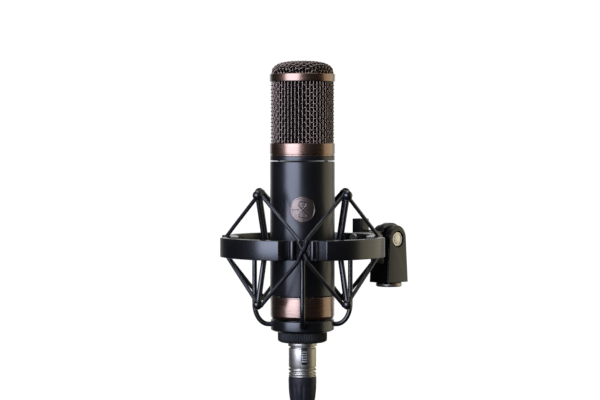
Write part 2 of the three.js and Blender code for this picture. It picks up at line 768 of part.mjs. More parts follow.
function plugBoot() {
  return turned([
    [0, PLUG.bottom - GAP],
    [PLUG.radius - 0.1, PLUG.bottom - GAP],
    ...BOOT.swell,
    [BOOT.tip, BOOT.bottom],
    [0, BOOT.bottom],
  ], 24);
}

function leadRoute() {
  const straight = [[0, 0, BOOT.bottom - GAP], [0, 0, COIL.z + LEAD_BEND.start]];
  const bend = Array.from({ length: 3 }, (_, i) => {
    const angle = (LEAD_BEND.stop * (i + 1)) / 3;
    return [
      LEAD_BEND.radius * (1 - Math.cos(angle)),
      0,
      COIL.z + LEAD_BEND.start - LEAD_BEND.radius * Math.sin(angle),
    ];
  });
  return [...straight, ...bend];
}

// The section of the wound lead, grown by a margin, as [across, along the coil's axis] points.
function bundleSection(margin) {
  const across = COIL.halfWidth + margin;
  const along = COIL.halfThickness + margin;
  const shortAcross = COIL.corner * across;
  const shortAlong = COIL.corner * along;
  return [
    [-across, -shortAlong],
    [-shortAcross, -along],
    [shortAcross, -along],
    [across, -shortAlong],
    [across, shortAlong],
    [shortAcross, along],
    [-shortAcross, along],
    [-across, shortAlong],
  ];
}

function coil() {
  const section = bundleSection(0).map(([across, along]) => [COIL.radius + across, along]);
  return turned(section, 28).rotateX(Math.PI / 2);
}

// The end of the lead comes off the coil and bends down beside it.
function tailRoute() {
  const bend = [1, 0.5, 0].map((share) => {
    const angle = TAIL.leave * share;
    return [TAIL.x - TAIL.bend * (1 - Math.cos(angle)), 0, TAIL.z + TAIL.bend * Math.sin(angle)];
  });
  return [...bend, [TAIL.x, 0, FAR_BOOT.top + GAP]];
}

function farPlugShell() {
  const { radius, length, bore, cup, insert } = FAR_PLUG;
  const cable = insert - 1.5;
  const insertTop = -length + cup + 4 + GAP;
  return turned([
    [bore, -length],
    [radius - 0.4, -length],
    [radius, -length + 0.5],
    [radius, -0.6],
    [radius - 0.6, 0],
    [cable, 0],
    [cable, insertTop],
    [bore, insertTop],
  ], 24);
}

function farPlugInsert() {
  const { length, cup, insert, pinLength } = FAR_PLUG;
  const floor = -length + cup;
  const pins = PIN.angles.map((turn) => rod(PIN.radius, floor - pinLength, floor + 1, 8)
    .translate(PIN.circle * Math.cos(turn * Math.PI), PIN.circle * Math.sin(turn * Math.PI), 0));
  return join(rod(insert, floor, floor + 4, 20), ...pins);
}

function farBoot() {
  const { length, middle, wide } = FAR_BOOT;
  return turned([
    [0, 0],
    [BOOT.tip, 0],
    [middle, -0.5 * length],
    [wide, GAP - length],
    [0, GAP - length],
  ], 20);
}

function cableTie() {
  const outside = bundleSection(TIE.clearance + TIE.wall);
  const inside = bundleSection(TIE.clearance);
  return prism(outside, -TIE.width / 2, TIE.width / 2, [inside]).translate(COIL.radius, 0, 0);
}

function putAwayLead() {
  const group = new THREE.Group();
  group.position.set(0, COIL.y, COIL.z);
  const beside = (mesh, z) => {
    mesh.position.set(TAIL.x, 0, z);
    return mesh;
  };
  const tie = piece('cable_tie', cableTie(), cloth);
  tie.rotation.y = -TIE.turn;
  group.add(
    piece('lead_coil', coil(), rubber),
    tie,
    piece('lead_tail', tube(tailRoute(), CABLE_RADIUS), rubber),
    beside(piece('far_plug_boot', farBoot(), rubber), FAR_BOOT.top),
    beside(piece('far_plug_shell', farPlugShell(), silver), FAR_BOOT.top - FAR_BOOT.length),
    beside(piece('far_plug_insert', farPlugInsert(), insulator), FAR_BOOT.top - FAR_BOOT.length),
  );
  return group;
}

function lead() {
  return [
    piece('plug_shell', plugShell(), silver),
    piece('plug_insert', plugInsert(), insulator),
    piece('latch_button', latchButton(), silver),
    piece('plug_boot', plugBoot(), rubber),
    piece('lead_cable', tube(leadRoute(), CABLE_RADIUS), rubber),
    putAwayLead(),
  ];
}

// ---------------------------------------------------------------- assembly

const microphone = new THREE.Group();
microphone.position.set(-ARM_REACH * Math.cos(ARM_ANGLE), -ARM_REACH * Math.sin(ARM_ANGLE), 0);
microphone.add(...head(), ...motor(), ...body(), ...cradle(), ...suspension(), ...lead());

const assembly = new THREE.Group();
assembly.add(microphone, swivel());

export default assembly;
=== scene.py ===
"""The looks of the ribbon microphone, its shock mount, swivel and lead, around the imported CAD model."""
import json
import math

import bmesh
import bpy
import numpy as np
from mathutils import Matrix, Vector
from mathutils.geometry import tessellate_polygon

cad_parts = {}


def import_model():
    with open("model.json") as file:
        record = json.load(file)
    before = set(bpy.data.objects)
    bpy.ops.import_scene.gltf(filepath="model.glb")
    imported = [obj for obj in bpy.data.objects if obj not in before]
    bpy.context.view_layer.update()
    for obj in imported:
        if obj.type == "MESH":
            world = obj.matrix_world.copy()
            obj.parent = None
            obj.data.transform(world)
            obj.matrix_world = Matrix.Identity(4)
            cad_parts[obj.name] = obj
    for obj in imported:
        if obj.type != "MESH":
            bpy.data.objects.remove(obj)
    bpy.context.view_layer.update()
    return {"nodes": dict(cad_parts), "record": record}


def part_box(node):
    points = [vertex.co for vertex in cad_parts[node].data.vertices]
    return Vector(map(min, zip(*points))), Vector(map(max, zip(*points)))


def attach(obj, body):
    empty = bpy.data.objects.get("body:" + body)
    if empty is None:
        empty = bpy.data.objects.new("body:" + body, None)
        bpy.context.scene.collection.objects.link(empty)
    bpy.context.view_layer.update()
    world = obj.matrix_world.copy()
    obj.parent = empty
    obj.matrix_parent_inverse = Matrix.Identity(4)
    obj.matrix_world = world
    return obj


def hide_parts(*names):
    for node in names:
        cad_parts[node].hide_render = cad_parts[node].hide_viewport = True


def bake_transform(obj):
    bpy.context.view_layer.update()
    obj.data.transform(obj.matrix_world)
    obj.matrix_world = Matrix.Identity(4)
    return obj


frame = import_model()

MM = 0.001
TURN = 2 * math.pi


def middle(node):
    """The middle of a CAD node's box, in millimetres."""
    low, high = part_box(node)
    return np.array((low + high) / 2) / MM


AXIS_X, AXIS_Y, _ = middle("body_tube")
PIVOT_Z = middle("outer_ring")[2]
AXLE_Z = middle("pivot_bolt")[2]
ARM_ANGLE = math.pi / 4

# ---------------------------------------------------------------- meshes


def mesh_piece(name, vertices, faces, sharp=38, uv=None):
    """A piece from points in millimetres, smooth where its faces meet at less than the sharp angle."""
    mesh = bpy.data.meshes.new(name)
    mesh.from_pydata((np.asarray(vertices, float) * MM).tolist(), [], faces)
    if uv is not None:
        layer = mesh.uv_layers.new(name="along")
        index = np.zeros(len(mesh.loops), np.int32)
        mesh.loops.foreach_get("vertex_index", index)
        layer.data.foreach_set("uv", np.asarray(uv, np.float32)[index].ravel())
    mesh.shade_smooth()
    mesh.set_sharp_from_angle(angle=math.radians(sharp))
    piece = bpy.data.objects.new(name, mesh)
    bpy.context.scene.collection.objects.link(piece)
    return piece


def grid_faces(rows, columns, closed_rows, closed_columns, start=0):
    faces = []
    for i in range(rows if closed_rows else rows - 1):
        a, b = i * columns, ((i + 1) % rows) * columns
        for j in range(columns if closed_columns else columns - 1):
            k = (j + 1) % columns
            faces.append((start + a + j, start + a + k, start + b + k, start + b + j))
    return faces


def rounded(outline, radius, steps=4):
    """The outline with its corners rounded. A point may carry its own radius as a third number."""
    made = []
    count = len(outline)
    for i, point in enumerate(outline):
        here = np.array(point[:2], float)
        size = point[2] if len(point) > 2 else radius
        before = np.array(outline[i - 1][:2], float) - here
        after = np.array(outline[(i + 1) % count][:2], float) - here
        reach_before, reach_after = np.linalg.norm(before), np.linalg.norm(after)
        cosine = np.clip(before @ after / (reach_before * reach_after), -1, 1)
        half = math.acos(cosine) / 2
        if size <= 0 or half > math.radians(86):
            made.append(here)
            continue
        cut = min(size / math.tan(half), 0.48 * reach_before, 0.48 * reach_after)
        first, last = here + before / reach_before * cut, here + after / reach_after * cut
        for k in range(steps + 1):
            t = k / steps
            made.append((1 - t) ** 2 * first + 2 * t * (1 - t) * here + t**2 * last)
    return np.array(made)


def lathe_rows(outline, angles, bump=None):
    """Points of an outline turned about Z; bump gives the change of radius at each row and angle."""
    outline = np.asarray(outline, float)
    radius = np.repeat(outline[:, :1], len(angles), 1)
    if bump is not None:
        radius = radius + bump(outline, angles)
    x, y = radius * np.cos(angles), radius * np.sin(angles)
    z = np.repeat(outline[:, 1:2], len(angles), 1)
    return np.stack([x, y, z], -1).reshape(-1, 3)


def anticlockwise(outline):
    outline = np.asarray(outline, float)
    x, y = outline[:, 0], outline[:, 1]
    area = (x * np.roll(y, -1) - np.roll(x, -1) * y).sum()
    return outline if area > 0 else outline[::-1]


def lathe(name, outline, segments=96, at=(0, 0, 0), bump=None, sharp=38):
    """A closed [radius, z] outline, off the axis all the way round, turned into a solid."""
    outline = anticlockwise(outline)
    angles = np.arange(segments) * TURN / segments
    points = lathe_rows(outline, angles, bump) + np.array(at, float)
    faces = grid_faces(len(outline), segments, True, True)
    return mesh_piece(name, points, faces, sharp)


def solid_lathe(name, outline, segments=64, at=(0, 0, 0), bump=None, sharp=38):
    """An open [radius, z] outline, from the bottom up, closed by a flat face at each end."""
    angles = np.arange(segments) * TURN / segments
    points = lathe_rows(outline, angles, bump)
    faces = grid_faces(len(outline), segments, False, True)
    top = (len(outline) - 1) * segments
    faces += [tuple(range(segments))[::-1], tuple(range(top, top + segments))]
    return mesh_piece(name, points + np.array(at, float), faces, sharp)


def frames_along(points, closed):
    """A sideways and an upward direction at each point, carried along without twist."""
    ahead = np.roll(points, -1, 0) - np.roll(points, 1, 0)
    if not closed:
        ahead[0], ahead[-1] = points[1] - points[0], points[-1] - points[-2]
    ahead /= np.linalg.norm(ahead, axis=1)[:, None]
    side = np.cross(ahead[0], [0, 0, 1.0])
    if np.linalg.norm(side) < 0.2:
        side = np.cross(ahead[0], [0, 1.0, 0])
    sides = []
    for direction in ahead:
        side = side - (side @ direction) * direction
        side /= np.linalg.norm(side)
        sides.append(side)
    sides = np.array(sides)
    return sides, np.cross(ahead, sides)


def tube_parts(points, radius, sides=10, closed=False):
    """Vertices, faces and [length, share of the way round] of a tube along points."""
    points = np.asarray(points, float)
    sideways, up = frames_along(points, closed)
    radius = np.broadcast_to(np.asarray(radius, float), (len(points),))
    angles = np.arange(sides) * TURN / sides
    ring = np.cos(angles)[None, :, None] * sideways[:, None] + np.sin(angles)[None, :, None] * up[:, None]
    vertices = (points[:, None] + radius[:, None, None] * ring).reshape(-1, 3)
    faces = grid_faces(len(points), sides, closed, True)
    if not closed:
        last = (len(points) - 1) * sides
        faces += [tuple(range(sides))[::-1], tuple(range(last, last + sides))]
    length = np.concatenate([[0], np.cumsum(np.linalg.norm(np.diff(points, axis=0), axis=1))])
    uv = np.stack(np.broadcast_arrays(length[:, None] * MM, angles[None] / TURN), -1).reshape(-1, 2)
    return vertices, faces, uv


def tubes(name, routes, radius, sides=10, closed=False, sharp=50):
    """One piece made of a tube along each route."""
    vertices, faces, uvs, start = [], [], [], 0
    for route in routes:
        points, made, uv = tube_parts(route, radius, sides, closed)
        vertices.append(points)
        uvs.append(uv)
        faces += [tuple(start + i for i in face) for face in made]
        start += len(points)
    return mesh_piece(name, np.concatenate(vertices), faces, sharp, np.concatenate(uvs))


def smooth_route(points, steps=6, closed=False):
    """A curve through every point, rounded between them."""
    points = np.asarray(points, float)
    count = len(points)
    made = []
    for i in range(count if closed else count - 1):
        near = [i - 1, i, i + 1, i + 2]
        a, b, c, d = [points[k % count if closed else min(max(k, 0), count - 1)] for k in near]
        for k in range(steps):
            t = k / steps
            square = (2 * a - 5 * b + 4 * c - d) * t**2
            cube = (3 * b - a - 3 * c + d) * t**3
            made.append(0.5 * (2 * b + (c - a) * t + square + cube))
    if not closed:
        made.append(points[-1])
    return np.array(made)


def inward(loop):
    """For a loop with the material on its left, each corner's step that moves both its edges in by one."""
    normals = []
    for edge in (loop - np.roll(loop, 1, 0), np.roll(loop, -1, 0) - loop):
        unit = edge / np.maximum(np.linalg.norm(edge, axis=1), 1e-9)[:, None]
        normals.append(np.column_stack([-unit[:, 1], unit[:, 0]]))
    total = normals[0] + normals[1]
    scale = np.maximum(1 + (normals[0] * normals[1]).sum(1), 0.4)
    return total / scale[:, None]


def slab(name, outer, holes, low, high, bevel=0.5, steps=3, sharp=38, place=None):
    """A plate with rounded edges: a flat outline with holes, from low to high along the third direction."""
    loops = [anticlockwise(outer)] + [anticlockwise(hole)[::-1] for hole in holes]
    quarter = [math.pi / 2 * k / steps for k in range(steps + 1)]
    levels = [(bevel * (1 - math.sin(a)), low + bevel * (1 - math.cos(a))) for a in quarter]
    levels += [(inset, high + low - z) for inset, z in levels[::-1]]
    moves = [inward(loop) for loop in loops]
    vertices, faces, starts = [], [], []
    for loop, move in zip(loops, moves):
        start = sum(len(v) for v in vertices)
        starts.append(start)
        for inset, z in levels:
            vertices.append(np.column_stack([loop + inset * move, np.full(len(loop), z)]))
        faces += grid_faces(len(levels), len(loop), False, True, start)
    flat = [[Vector((*p, 0)) for p in loop + levels[0][0] * move] for loop, move in zip(loops, moves)]
    bottom, top = [], []
    for start, loop in zip(starts, loops):
        end = start + len(levels) * len(loop)
        bottom += range(start, start + len(loop))
        top += range(end - len(loop), end)
    where = [p for loop in flat for p in loop]
    for a, b, c in tessellate_polygon(flat):
        ccw = (where[b] - where[a]).cross(where[c] - where[a]).z > 0
        a, c = (a, c) if ccw else (c, a)
        faces += [(bottom[c], bottom[b], bottom[a]), (top[a], top[b], top[c])]
    points = np.concatenate(vertices)
    if place is not None:
        points = place(points)
    return mesh_piece(name, points, faces, sharp)


def mend(mesh, reach=1e-6):
    """Joins vertices that lie within reach of each other, in metres, and turns every face outward."""
    made = bmesh.new()
    made.from_mesh(mesh)
    bmesh.ops.remove_doubles(made, verts=made.verts, dist=reach)
    bmesh.ops.recalc_face_normals(made, faces=made.faces)
    made.to_mesh(mesh)
    made.free()


def joined(name, *pieces):
    """The pieces as one, in the first one's place."""
    base = pieces[0]
    made = bmesh.new()
    for piece in pieces:
        made.from_mesh(piece.data)
    made.to_mesh(base.data)
    made.free()
    for piece in pieces[1:]:
        bpy.data.objects.remove(piece)
    base.name = name
    return base


def carve(piece, cutters, sharp=38):
    """The piece with the cutters taken away from it."""
    for cutter in cutters:
        modifier = piece.modifiers.new("carve", "BOOLEAN")
        modifier.operation = "DIFFERENCE"
        modifier.solver = "EXACT"
        modifier.object = cutter
    bpy.context.view_layer.update()
    mesh = bpy.data.meshes.new_from_object(piece.evaluated_get(bpy.context.evaluated_depsgraph_get()))
    piece.modifiers.clear()
    piece.data = mesh
    mend(mesh)
    mesh.shade_smooth()
    mesh.set_sharp_from_angle(angle=math.radians(sharp))
    for cutter in cutters:
        bpy.data.objects.remove(cutter)
    return piece


def arc(cx, cy, radius, start, stop, steps):
    angles = np.linspace(start, stop, steps + 1)
    return np.column_stack([cx + radius * np.cos(angles), cy + radius * np.sin(angles)])


def circle(radius, steps=48, cx=0, cy=0):
    return arc(cx, cy, radius, 0, TURN * (1 - 1 / steps), steps - 1)


# ---------------------------------------------------------------- camera and lead


LENS, SENSOR, NEAREST = 114, 36, 0.05
CAMERA_LEFT, CAMERA_BACK, CAMERA_Z, CAMERA_PITCH = 1.9, 1466, 126.5, math.radians(87.89)


def make_camera():
    data = bpy.data.cameras.new("camera")
    data.lens = LENS
    data.sensor_width = SENSOR
    data.clip_start = NEAREST
    camera = bpy.data.objects.new("camera", data)
    camera.location = ((AXIS_X - CAMERA_LEFT) * MM, (AXIS_Y - CAMERA_BACK) * MM, CAMERA_Z * MM)
    camera.rotation_euler = (CAMERA_PITCH, 0, 0)
    bpy.context.scene.collection.objects.link(camera)
    bpy.context.scene.camera = camera


make_camera()

LEAD_LENGTH, CABLE_RADIUS = 3.0, 3.0
BOOT_BOTTOM = -100.0
COIL = np.array([AXIS_X, *middle("lead_coil")[1:]])
COIL_RADIUS = 35.0
BEND_RADIUS, BEND_START = 30.0, 64.35
JOIN_TURN, LEAVE_TURN = math.radians(65), math.radians(45)
TAIL_X, TAIL_Z, TAIL_BEND = 51.8, -2.0, 30.0
FAR_BOOT_TOP = -7.2
# The places of the turns in the coil's section, as [outward, along the coil's axis], in winding order.
PLACES = [
    (6, -5.2), (3, -10.4), (-3, -10.4), (-6, -5.2), (-9, 0), (-6, 5.2), (-3, 10.4),
    (3, 10.4), (0, 5.2), (-3, 0), (0, -5.2), (3, 0), (6, 5.2), (9, 0),
]
SHIFT_FROM, SHIFT_TO = math.radians(122), math.radians(68)


def place_in_bundle(travelled):
    """Where the lead lies in the coil's section after it has gone that far round."""
    angle = JOIN_TURN - travelled
    laps = (SHIFT_FROM - angle) / TURN
    lap = math.floor(laps)
    share = (laps - lap) * TURN / (SHIFT_FROM - SHIFT_TO)
    ease = 1 if share > 1 else (1 - math.cos(math.pi * share)) / 2
    here = np.array(PLACES[min(max(lap, 0), len(PLACES) - 1)], float)
    before = np.array(PLACES[min(max(lap - 1, 0), len(PLACES) - 1)], float)
    return before + (here - before) * ease


def lead_route():
    """The lead from the boot to the far plug's boot, relative to the coil's middle, in millimetres."""
    start_z = BOOT_BOTTOM - COIL[2]
    front = AXIS_Y - COIL[1]
    points = [(0, front, z) for z in np.linspace(start_z, BEND_START, 4)]
    for angle in np.linspace(0, JOIN_TURN, 14)[1:]:
        aside, fall = BEND_RADIUS * (1 - math.cos(angle)), BEND_RADIUS * math.sin(angle)
        points.append((aside, front, BEND_START - fall))
    total = TURN * (len(PLACES) - 1) + JOIN_TURN - LEAVE_TURN
    for travelled in np.linspace(0, total, 1060)[1:]:
        outward, along = place_in_bundle(travelled)
        angle, radius = JOIN_TURN - travelled, COIL_RADIUS + outward
        points.append((radius * math.cos(angle), along, radius * math.sin(angle)))
    for angle in np.linspace(LEAVE_TURN, 0, 9):
        points.append((TAIL_X - TAIL_BEND * (1 - math.cos(angle)), 0, TAIL_Z + TAIL_BEND * math.sin(angle)))
    points.append((TAIL_X, 0, FAR_BOOT_TOP))
    return np.array(points) + COIL


LEAD = lead_route()
lead = tubes("lead", [LEAD], CABLE_RADIUS, 14)

# ---------------------------------------------------------------- materials


class Surface:
    """A material built from nodes."""

    def __init__(self, name, color, rough, metal=0.0):
        self.material = bpy.data.materials.new(name)
        self.material.use_nodes = True
        self.tree = self.material.node_tree
        self.shader = self.tree.nodes["Principled BSDF"]
        self.set(self.shader, "Base Color", (*color, 1))
        self.set(self.shader, "Roughness", rough)
        self.set(self.shader, "Metallic", metal)
        self.height = None

    def set(self, node, socket, value):
        if isinstance(value, bpy.types.NodeSocket):
            self.tree.links.new(value, node.inputs[socket])
        else:
            node.inputs[socket].default_value = value

    def node(self, kind, inputs=(), **settings):
        made = self.tree.nodes.new(kind)
        for key, value in settings.items():
            setattr(made, key, value)
        for socket, value in dict(inputs).items():
            self.set(made, socket, value)
        return made

    def place(self, scale=(1, 1, 1)):
        coordinates = self.node("ShaderNodeTexCoord").outputs["Object"]
        return self.node("ShaderNodeMapping", {"Vector": coordinates, "Scale": scale}).outputs[0]

    def noise(self, scale, stretch=(1, 1, 1), detail=3.0):
        inputs = {"Vector": self.place(stretch), "Scale": scale, "Detail": detail}
        return self.node("ShaderNodeTexNoise", inputs).outputs[0]

    def ramp(self, value, stops):
        made = self.node("ShaderNodeValToRGB", {"Fac": value})
        elements = made.color_ramp.elements
        while len(elements) < len(stops):
            elements.new(0.5)
        for element, (position, shade) in zip(elements, stops):
            element.position = position
            element.color = (*shade, 1) if hasattr(shade, "__len__") else (shade, shade, shade, 1)
        return made.outputs[0]

    def math(self, operation, *values):
        made = self.node("ShaderNodeMath", operation=operation)
        for i, value in enumerate(values):
            self.set(made, i, value)
        return made.outputs[0]

    def mix(self, share, first, second):
        made = self.node("ShaderNodeMix", data_type="RGBA")
        for socket, value in (("Factor", share), ("A", first), ("B", second)):
            found = [s for s in made.inputs if s.name == socket and s.enabled][0]
            if isinstance(value, bpy.types.NodeSocket):
                self.tree.links.new(value, found)
            else:
                found.default_value = value
        return [s for s in made.outputs if s.enabled][0]

    def range(self, value, low, high, start=0.0):
        inputs = {"Value": value, "From Min": start, "To Min": low, "To Max": high}
        return self.node("ShaderNodeMapRange", inputs).outputs[0]

    def bump(self, height, strength, distance=0.0002):
        inputs = {"Height": height, "Strength": strength, "Distance": distance}
        if self.height is not None:
            inputs["Normal"] = self.height
        self.height = self.node("ShaderNodeBump", inputs).outputs[0]
        self.set(self.shader, "Normal", self.height)

    def worn_edges(self, worn, amount=0.6, radius=0.0006, scale=900):
        """Mixes a brighter colour in along the edges, broken up by noise."""
        bevel = self.node("ShaderNodeBevel", {"Radius": radius}, samples=6).outputs[0]
        true = self.node("ShaderNodeNewGeometry").outputs["Normal"]
        alike = self.node("ShaderNodeVectorMath", {0: bevel, 1: true}, operation="DOT_PRODUCT")
        edge = self.ramp(self.math("SUBTRACT", 1.0, alike.outputs["Value"]), [(0.004, 0.0), (0.05, 1.0)])
        broken = self.ramp(self.noise(scale, detail=4.0), [(0.35, 0.15), (0.65, 1.0)])
        share = self.math("MULTIPLY", self.math("MULTIPLY", edge, broken), amount)
        self.set(self.shader, "Base Color", self.mix(share, self.shader_color(), (*worn, 1)))

    def shader_color(self):
        socket = self.shader.inputs["Base Color"]
        return socket.links[0].from_socket if socket.is_linked else tuple(socket.default_value)


def enamel(name, color, rough, grain=3200, strength=0.12, worn=(0.09, 0.085, 0.08), amount=0.35):
    """Satin enamel or powder coat: a fine grain, a little cloudiness in its gloss, and lighter edges."""
    made = Surface(name, color, rough)
    cloud = made.noise(60, detail=4.0)
    made.set(made.shader, "Roughness", made.range(cloud, rough - 0.05, rough + 0.06))
    shade = made.ramp(cloud, [(0.3, tuple(0.85 * c for c in color)), (0.7, tuple(1.2 * c for c in color))])
    made.set(made.shader, "Base Color", shade)
    made.bump(made.noise(grain, detail=2.0), strength, 0.0001)
    made.worn_edges(worn, amount)
    return made.material


def turned_metal(name, color, dark, rough, lacquer, streak, strength, patina, worn):
    """Metal turned on a lathe: fine lines round the part, patina in patches, and brighter edges."""
    made = Surface(name, color, rough, 1.0)
    lines = made.noise(1, (14, 14, streak), 3.0)
    broad = made.noise(1, (30, 30, streak / 9), 3.0)
    patches = made.noise(120, (1, 1, 1.6), 5.0)
    tone = made.mix(made.range(patches, 0, patina), (*color, 1), (*dark, 1))
    tone = made.mix(made.range(broad, 0, 0.5), tone, (*[0.55 * c for c in color], 1))
    made.set(made.shader, "Base Color", tone)
    made.set(made.shader, "Roughness", made.range(lines, rough - 0.08, rough + 0.12))
    made.set(made.shader, "Anisotropic", 0.55)
    tangent = made.node("ShaderNodeTangent", direction_type="RADIAL", axis="Z").outputs[0]
    made.set(made.shader, "Tangent", tangent)
    made.bump(lines, strength, 0.00008)
    made.worn_edges(worn, 0.5, 0.0004)
    made.set(made.shader, "Coat Weight", lacquer)
    made.set(made.shader, "Coat Roughness", 0.2)
    return made.material


def plain_metal(name, color, rough, scale=700, spread=0.12):
    """Machined metal: cloudy gloss and light tool marks."""
    made = Surface(name, color, rough, 1.0)
    marks = made.noise(scale, (1, 1, 6), 4.0)
    made.set(made.shader, "Roughness", made.range(marks, rough - spread / 2, rough + spread))
    tone = made.ramp(marks, [(0.3, tuple(0.75 * c for c in color)), (0.7, color)])
    made.set(made.shader, "Base Color", tone)
    made.bump(marks, 0.08, 0.0001)
    return made.material


def rubbery(name, color, rough, grain=1800, strength=0.2):
    """Rubber or moulded plastic: a matt grain with a few scuffs."""
    made = Surface(name, color, rough)
    scuffs = made.noise(240, (1, 1, 0.4), 5.0)
    made.set(made.shader, "Roughness", made.range(scuffs, rough - 0.1, rough + 0.12))
    shade = made.ramp(scuffs, [(0.35, color), (0.75, tuple(2.2 * c for c in color))])
    made.set(made.shader, "Base Color", shade)
    made.bump(made.noise(grain, detail=3.0), strength, 0.0001)
    return made.material


def braided(name, color, light, pitch=0.0022, strands=8):
    """Braided cord: two sets of yarns that wind round it in opposite directions, lighter on their crowns,
    with painted shade darker in the hollows between them.
    """
    made = Surface(name, color, 0.5)
    uv = made.node("ShaderNodeTexCoord").outputs["UV"]
    parts = made.node("ShaderNodeSeparateXYZ", {"Vector": uv})
    along = made.math("MULTIPLY", parts.outputs[0], TURN / pitch)
    round_ = made.math("MULTIPLY", parts.outputs[1], TURN * strands / 2)
    one = made.math("SINE", made.math("ADD", along, round_))
    two = made.math("SINE", made.math("SUBTRACT", along, round_))
    weave = made.math("MULTIPLY", one, two)
    height = made.range(weave, 0.0, 1.0, -1.0)
    # The yarn crowns get the lighter colour and the hollows between the yarns the darker one: painted shade
    # in the hollows.
    shade = made.ramp(height, [(0.2, color), (0.85, light)])
    made.set(made.shader, "Base Color", shade)
    made.set(made.shader, "Roughness", made.range(made.noise(2500), 0.3, 0.42))
    made.bump(height, 0.5, 0.0002)
    return made.material


def fine_screen(name, pitch=0.0007):
    """Fine blackened mesh behind the grille, darker between its raised knots: painted shade."""
    made = Surface(name, (0.004, 0.004, 0.004), 0.8)
    made.set(made.shader, "Specular IOR Level", 0.1)
    parts = made.node("ShaderNodeSeparateXYZ", {"Vector": made.place()})
    rows = made.math("SINE", made.math("MULTIPLY", parts.outputs[2], TURN / pitch))
    side = made.math("ADD", parts.outputs[0], parts.outputs[1])
    columns = made.math("SINE", made.math("MULTIPLY", side, TURN / pitch))
    knots = made.math("MULTIPLY", rows, columns)
    # Lighter on the raised knots and darker in the low places between them: painted shade.
    shade = made.ramp(knots, [(0.1, (0.001, 0.001, 0.001)), (0.9, (0.008, 0.006, 0.005))])
    made.set(made.shader, "Base Color", shade)
    made.bump(knots, 0.4, 0.0001)
    return made.material


LOOKS = {
    "brushed_copper": (
        turned_metal, (0.18, 0.106, 0.07), (0.115, 0.056, 0.031), 0.26, 0.9,
        5200, 0.1, 0.5, (0.8, 0.7, 0.62),
    ),
    "badge_copper": (plain_metal, (0.17, 0.135, 0.115), 0.36, 1600),
    "woven_bronze": (plain_metal, (0.17, 0.128, 0.104), 0.17, 1500),
    "fine_screen": (fine_screen,),
    "satin_body": (enamel, (0.0042, 0.0042, 0.0046), 0.31, 5200, 0.08),
    "mount_black": (enamel, (0.0042, 0.0042, 0.0046), 0.26, 4200, 0.1),
    "wire_black": (enamel, (0.0042, 0.0042, 0.0046), 0.26, 3600, 0.06),
    "knurled_black": (enamel, (0.005, 0.005, 0.0055), 0.38, 4200, 0.12),
    "swivel_black": (enamel, (0.003, 0.003, 0.0026), 0.34, 2600, 0.2),
    # A braided look's first colour is the painted shade in the hollows between the yarns, its second the
    # yarn crowns.
    "elastic_cord": (braided, (0.004, 0.004, 0.005), (0.012, 0.012, 0.014)),
    "nickel": (
        turned_metal, (0.36, 0.335, 0.28), (0.26, 0.235, 0.19), 0.36, 0.0,
        3800, 0.08, 0.3, (0.8, 0.8, 0.8),
    ),
    "steel_part": (plain_metal, (0.7, 0.68, 0.65), 0.45),
    "magnet_metal": (plain_metal, (0.2, 0.2, 0.21), 0.45),
    "ribbon_foil": (plain_metal, (0.8, 0.8, 0.82), 0.25, 2400),
    "clamp_brass": (plain_metal, (0.6, 0.44, 0.2), 0.35),
    "enamelled_wire": (plain_metal, (0.42, 0.14, 0.05), 0.4, 2600),
    "insulator_black": (rubbery, (0.012, 0.012, 0.012), 0.5),
    "contact_metal": (plain_metal, (0.7, 0.62, 0.42), 0.22),
    "boot_rubber": (rubbery, (0.008, 0.008, 0.009), 0.45),
    "cable_jacket": (rubbery, (0.009, 0.009, 0.0095), 0.42, 2600, 0.12),
    # Braided too: its first colour is painted shade in the hollows between the yarns.
    "tie_strap": (braided, (0.008, 0.008, 0.01), (0.05, 0.05, 0.055), 0.0016, 14),
    "washer_plastic": (rubbery, (0.05, 0.05, 0.05), 0.5),
}
GLOSS = {"knurled_black": 0.15, "boot_rubber": 0.15, "satin_body": 0.45, "swivel_black": 0.38}


def make_materials():
    made = {name: maker(name, *values) for name, (maker, *values) in LOOKS.items()}
    for name, level in GLOSS.items():
        made[name].node_tree.nodes["Principled BSDF"].inputs["Specular IOR Level"].default_value = level
    return made


MATERIALS = make_materials()


def finish_piece(piece, body, slot, *nodes):
    piece.data.materials.clear()
    piece.data.materials.append(MATERIALS[slot])
    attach(piece, body)
    if nodes:
        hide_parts(*nodes)
    return piece


def dress_cad_nodes():
    """Gives every CAD node that stays in sight, or inside, its slot's material."""
    for part in frame["record"]["subparts"]:
        node = frame["nodes"][part["node"]]
        material = MATERIALS[part["material_slot"]]
        if node.material_slots:
            for slot in node.material_slots:
                slot.material = material
        else:
            node.data.materials.append(material)


dress_cad_nodes()

# ---------------------------------------------------------------- microphone


def about_axis(name, outline, slot, node, body="microphone", segments=128, bump=None, sharp=38):
    made = lathe(name, outline, segments, (AXIS_X, AXIS_Y, 0), bump, sharp)
    return finish_piece(made, body, slot, node)


def round_axis(reach, angle, height):
    """Points at that reach from the microphone's axis, that angle round it and that height."""
    return np.column_stack([AXIS_X + reach * np.cos(angle), AXIS_Y + reach * np.sin(angle), height])


def grille_wires():
    """The plain weave of the grille: nearly straight uprights, and hoops that pass over and under them."""
    radius, wire, upright_wave, hoop_wave = 23.6, 0.42, 0.12, 0.68
    columns, pitch, first, rows, bottom, top = 52, 2.84, 118.0, 16, 116.6, 163.4
    step = TURN / columns
    heights = np.linspace(bottom, top, 131)
    uprights = []
    for i in range(columns):
        reach = radius + upright_wave * np.cos(math.pi * ((heights - first) / pitch + i))
        uprights.append(round_axis(reach, i * step, heights))
    angles = np.arange(columns * 6) * step / 6
    hoops = []
    for j in range(rows):
        reach = radius - hoop_wave * np.cos(math.pi * (angles / step + j))
        hoops.append(round_axis(reach, angles, np.full(len(angles), first + j * pitch)))
    both = joined(
        "grille_weave",
        tubes("grille_uprights", uprights, wire, 8),
        tubes("grille_hoops", hoops, wire, 8, closed=True),
    )
    return finish_piece(both, "microphone", "woven_bronze", "grille_cylinder")


DOME_RADIUS, DOME_HEIGHT, DOME_FULLNESS, DOME_BOTTOM = 23.3, 9.5, 2.8, 169.6


